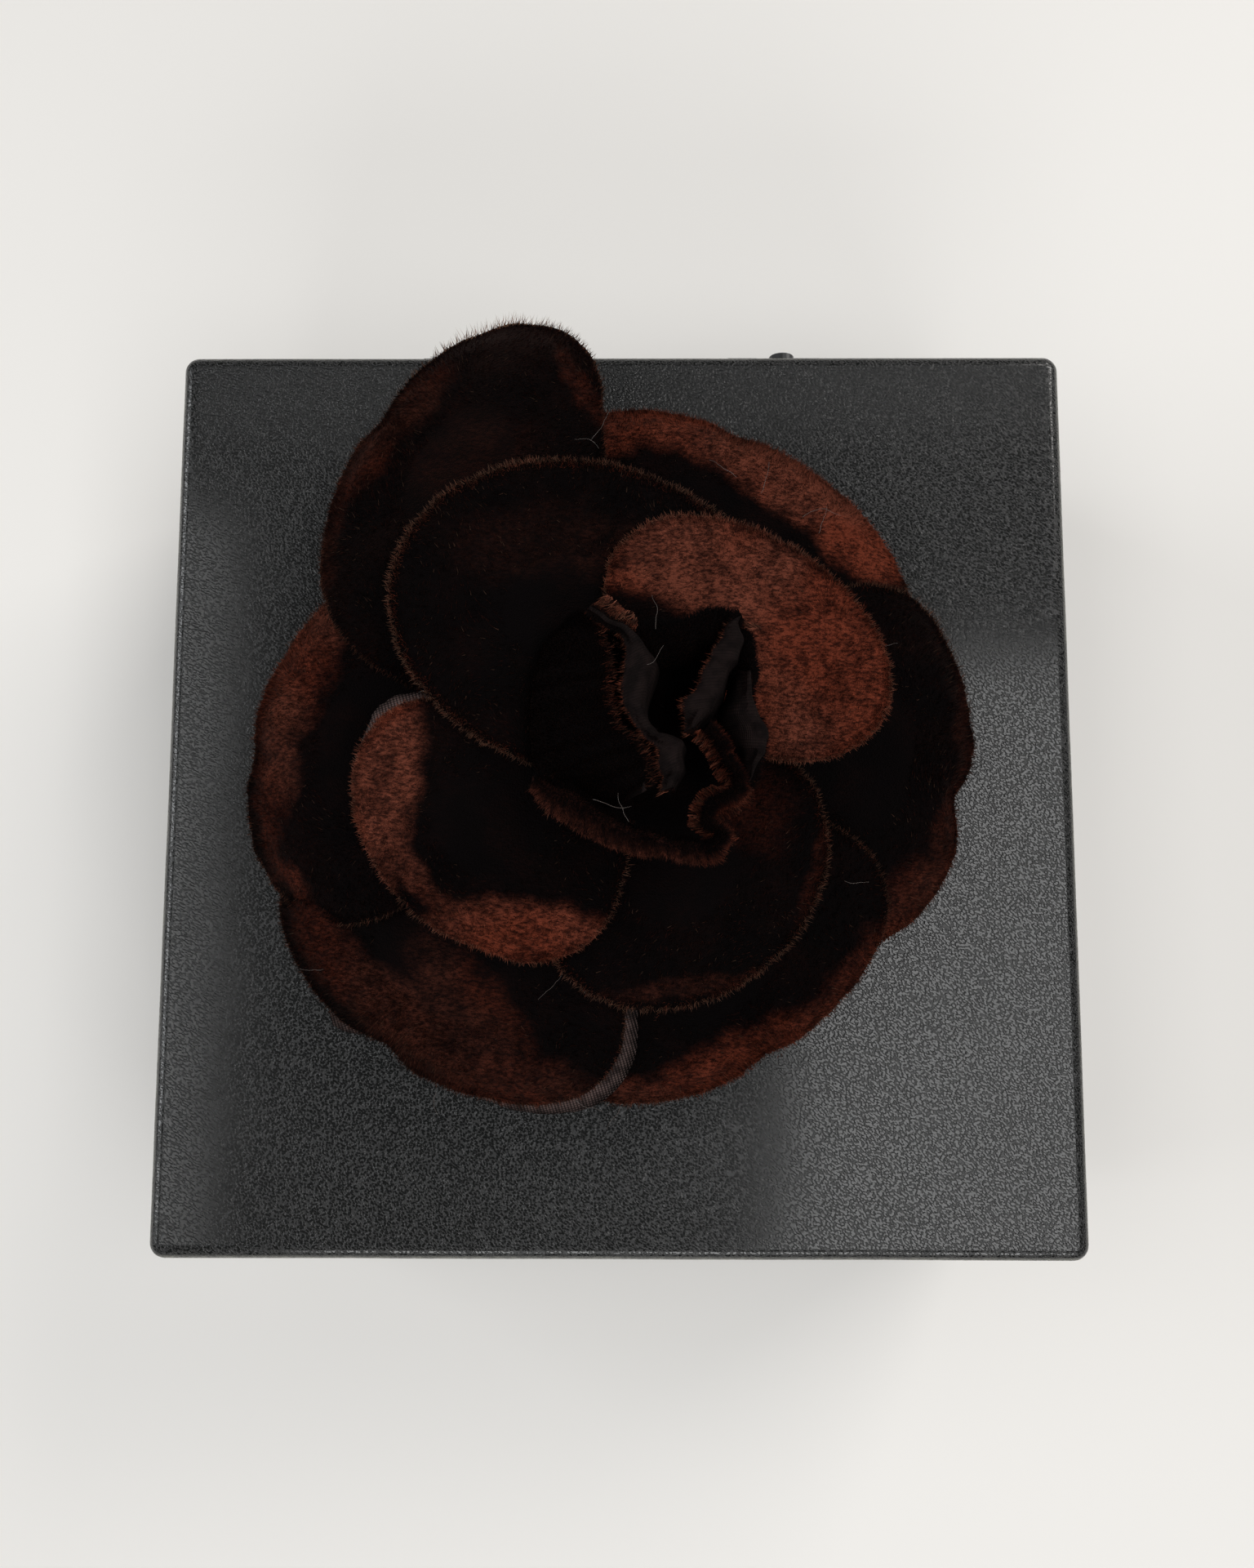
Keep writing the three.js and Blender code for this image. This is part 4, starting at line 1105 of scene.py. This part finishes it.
def make_bud_petal(name, strip, materials, pile_material):
    """The strip with its cloth's thickness. woven_up strips show their backing and hide their pile."""
    front, steps, length = bud_surface(strip, len(name))
    normals = strip_normals(front, steps)
    back = [point - normal * BUD_CLOTH for point, normal in zip(front, normals)]
    wide = ACROSS + 1
    count = len(front)
    skin = Skin()
    upper, lower = (1, 0) if strip["woven_up"] else (0, 1)
    for step in range(steps):
        for index in range(ACROSS):
            a = step * wide + index
            b, c, d = a + 1, a + wide + 1, a + wide
            skin.add((a, b, c, d), upper)
            skin.add((a + count, d + count, c + count, b + count), lower)
        for index in (0, ACROSS):
            a, d = step * wide + index, (step + 1) * wide + index
            skin.add((a, d, d + count, a + count), 0)
    for index in range(ACROSS):
        for a in (index, steps * wide + index):
            skin.add((a, a + 1, a + 1 + count, a + count), 0)
    piece = new_piece(f"bud_{name}_petal", [to_world(*point) for point in front + back], skin.faces,
                      materials, "flower", [f"bud_petal_{name}"], skin.slots)
    face_outwards(piece)
    set_attribute(piece, "lit", [strip["lit"]] * (2 * count))
    deep = max((front[1 + index] - front[index]).length for index in range(ACROSS)) * ACROSS
    set_attribute(piece, "thread", [(i % wide) / ACROSS * deep * MM for i in range(count)] * 2)
    set_attribute(piece, "cross", [(i // wide) / steps * length * MM for i in range(count)] * 2)
    pile = make_bud_pile(name, strip, front, back, normals, steps, pile_material)


def make_bud_pile(name, strip, front, back, normals, steps, material):
    """Pile on the velvet side, combed across the strip, and a roll of longer pile along its cut edge.
    Both lie in clumps, bright and dark by turns along the strip in painted sheen and paleness. A folded lip
    has painted shade inside its fold, and its inner edge carries a thinner roll."""
    fibres = Fibres()
    wide = ACROSS + 1
    surface = back if strip["woven_up"] else front
    sign = -1 if strip["woven_up"] else 1
    folded = strip["section"] is LIP
    for step in range(steps):
        clump = max(0.05, 0.6 + 2.0 * noise.noise(Vector((step * 0.9, len(name), 2))))
        for index in range(ACROSS):
            here = step * wide + index
            over = surface[here + 1] - surface[here]
            # Painted shade inside the folded lip
            shown = smoothstep(0.5, 0.9, index / ACROSS) if folded else 1
            for _ in range(BUD_PILE):
                foot = surface[here].lerp(surface[here + wide], random.random()) + over * random.random()
                direction = normals[here] * sign * 0.7 + over.normalized() * 0.5 + random_unit() * 0.35
                # Painted sheen, in clumps along the strip
                lit = strip["lit"] * (random.uniform(0.3, 1.6) + 5 * clump) * shown
                length = random.uniform(*BUD_LENGTH)
                fibres.spike(to_world(*foot), direction.normalized(), length * MM, BUD_WIDTH * MM, lit, 0.0)
        add_roll(fibres, surface, front, step * wide + ACROSS, -1, strip["fringe"], clump)
        if folded:
            add_roll(fibres, surface, front, step * wide, 1, 0.35, clump)
    return fibres.make(f"bud_{name}_petal_pile", material)


def add_roll(fibres, surface, front, rim, inward, fringe, clump):
    """A tuft of pile over one step of a strip's edge, thicker where the strip stands edge on."""
    wide = ACROSS + 1
    across = (front[rim] - front[rim + inward * ACROSS]).xy
    outward = across.normalized().to_3d()
    crowd = 1 + 2 * (1 - smoothstep(1.0, 2.2, across.length))
    for _ in range(round(ROLL_FIBRES * fringe * crowd)):
        foot = surface[rim].lerp(surface[rim + wide], random.random())
        foot -= outward * random.uniform(0, 0.9) * crowd
        direction = (outward * 0.8 + Vector((0, 0, 0.45)) + random_unit() * 0.35).normalized()
        # Painted sheen on the roll, in clumps
        lit = fringe * clump * random.uniform(0.3, 1.9)
        length = random.uniform(*ROLL_LENGTH)
        tone = fringe * clump * random.uniform(0.0, 0.24)
        fibres.spike(to_world(*foot), direction, length * MM, ROLL_WIDTH * MM, lit, tone)


# ---------------------------------------------------------------- flower: loose threads
THREAD_RADIUS = 0.025 * MM
# Where the cut edges fray: start, heading in degrees, length and height, in millimetres
THREADS = [
    (-7, 37, 70, 4.5, 67), (-6, 36, 110, 3.5, 67), (14, 28, 60, 4.0, 73), (19, 25, 40, 5.0, 73),
    (21, 23, 75, 3.5, 73), (11, 30, 150, 4.0, 73), (-23, 4, 200, 4.5, 72), (-21, 3, 230, 3.5, 72),
    (-10, -30, 250, 4.5, 68), (-9, -28, 280, 5.0, 68), (-26, -45, 240, 3.0, 62), (-9, -46, 300, 4.0, 60),
    (-3, -47, 250, 3.5, 60), (1, 9, 95, 4.0, 82), (0, 4.5, 20, 3.0, 84), (-6, -10.5, 5, 4.5, 83),
    (-2, -13, 120, 3.5, 83), (28, 9, 20, 2.5, 72), (24, -19, 330, 3.0, 69), (-41, -30, 200, 3.0, 60),
]


def make_threads(material):
    points, faces = [], []
    steps = 9
    for x, y, heading, length, height in THREADS:
        line = []
        turn = math.radians(heading)
        place = Vector((x, y, height))
        for step in range(steps + 1):
            line.append(to_world(*place))
            turn += random.uniform(-0.35, 0.35)
            climb = 0.25 if step < steps / 2 else -0.2
            place = place + Vector((math.cos(turn), math.sin(turn), climb)) * length / steps
        vertices, sides = tube(line, THREAD_RADIUS)
        start = len(points)
        points += vertices
        faces += [tuple(corner + start for corner in face) for face in sides]
    new_piece("frayed_threads", points, faces, [material], "flower")


def make_flower(cloth, pile_material, thread):
    for level, petal in enumerate(OUTER + MIDDLE):
        make_petal(petal, level, level < len(OUTER), cloth, pile_material)
    for name, strip in BUD.items():
        make_bud_petal(name, strip, cloth, pile_material)
    make_threads(thread)


# ---------------------------------------------------------------- finishes on the CAD's own pieces
def finish_cad_nodes(leather, paper, steel, lacquer):
    finishes = {"base_bottom_leather": leather, "base_shell": paper, "lid_shell": paper,
                "press_stud_cap": steel, "press_stud_post": lacquer, "press_stud_socket": lacquer}
    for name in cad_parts:
        if "magnet" in name or name.endswith("_pin"):
            finishes[name] = steel
        elif "hinge" in name or "rivet" in name:
            finishes[name] = lacquer
    for name, material in finishes.items():
        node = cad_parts[name]
        node.data.materials.clear()
        node.data.materials.append(material)


def main():
    random.seed(SEED)
    noise.seed_set(SEED)
    make_camera()
    make_stage()
    leather = leather_material()
    velvet = velvet_material("brown_velvet", fibre=False)
    fibre = velvet_material("brown_velvet_fibre", fibre=True)
    suede = suede_material()
    paper = mottled_material("black_paper", 0.8, (0.7 * MM, 4.0, 0.7), 0.35,
                             (0.010, 0.010, 0.010), (0.020, 0.019, 0.018), 0.05 * MM, 0.5)
    felt = mottled_material("brown_felt", 1.0, (0.9 * MM, 5.0, 0.75), 0.3,
                            (0.018, 0.008, 0.006), (0.05, 0.026, 0.02), 0.4 * MM, 0.8, sheen=0.4)
    foam = mottled_material("grey_foam", 0.95, (0.5 * MM, 3.0, 0.7), 0.3,
                            (0.030, 0.026, 0.022), (0.060, 0.052, 0.045), 0.2 * MM, 0.7)

    make_lid_leather(leather)
    make_base_leather(leather)
    make_collar(leather)
    make_base_lining(suede)
    make_lid_lining(suede)
    make_flower([velvet, backing_material()], fibre, thread_material())
    make_felt(felt)
    make_base_pad(foam)
    finish_cad_nodes(leather, paper, steel_material(), lacquer_material())


main()
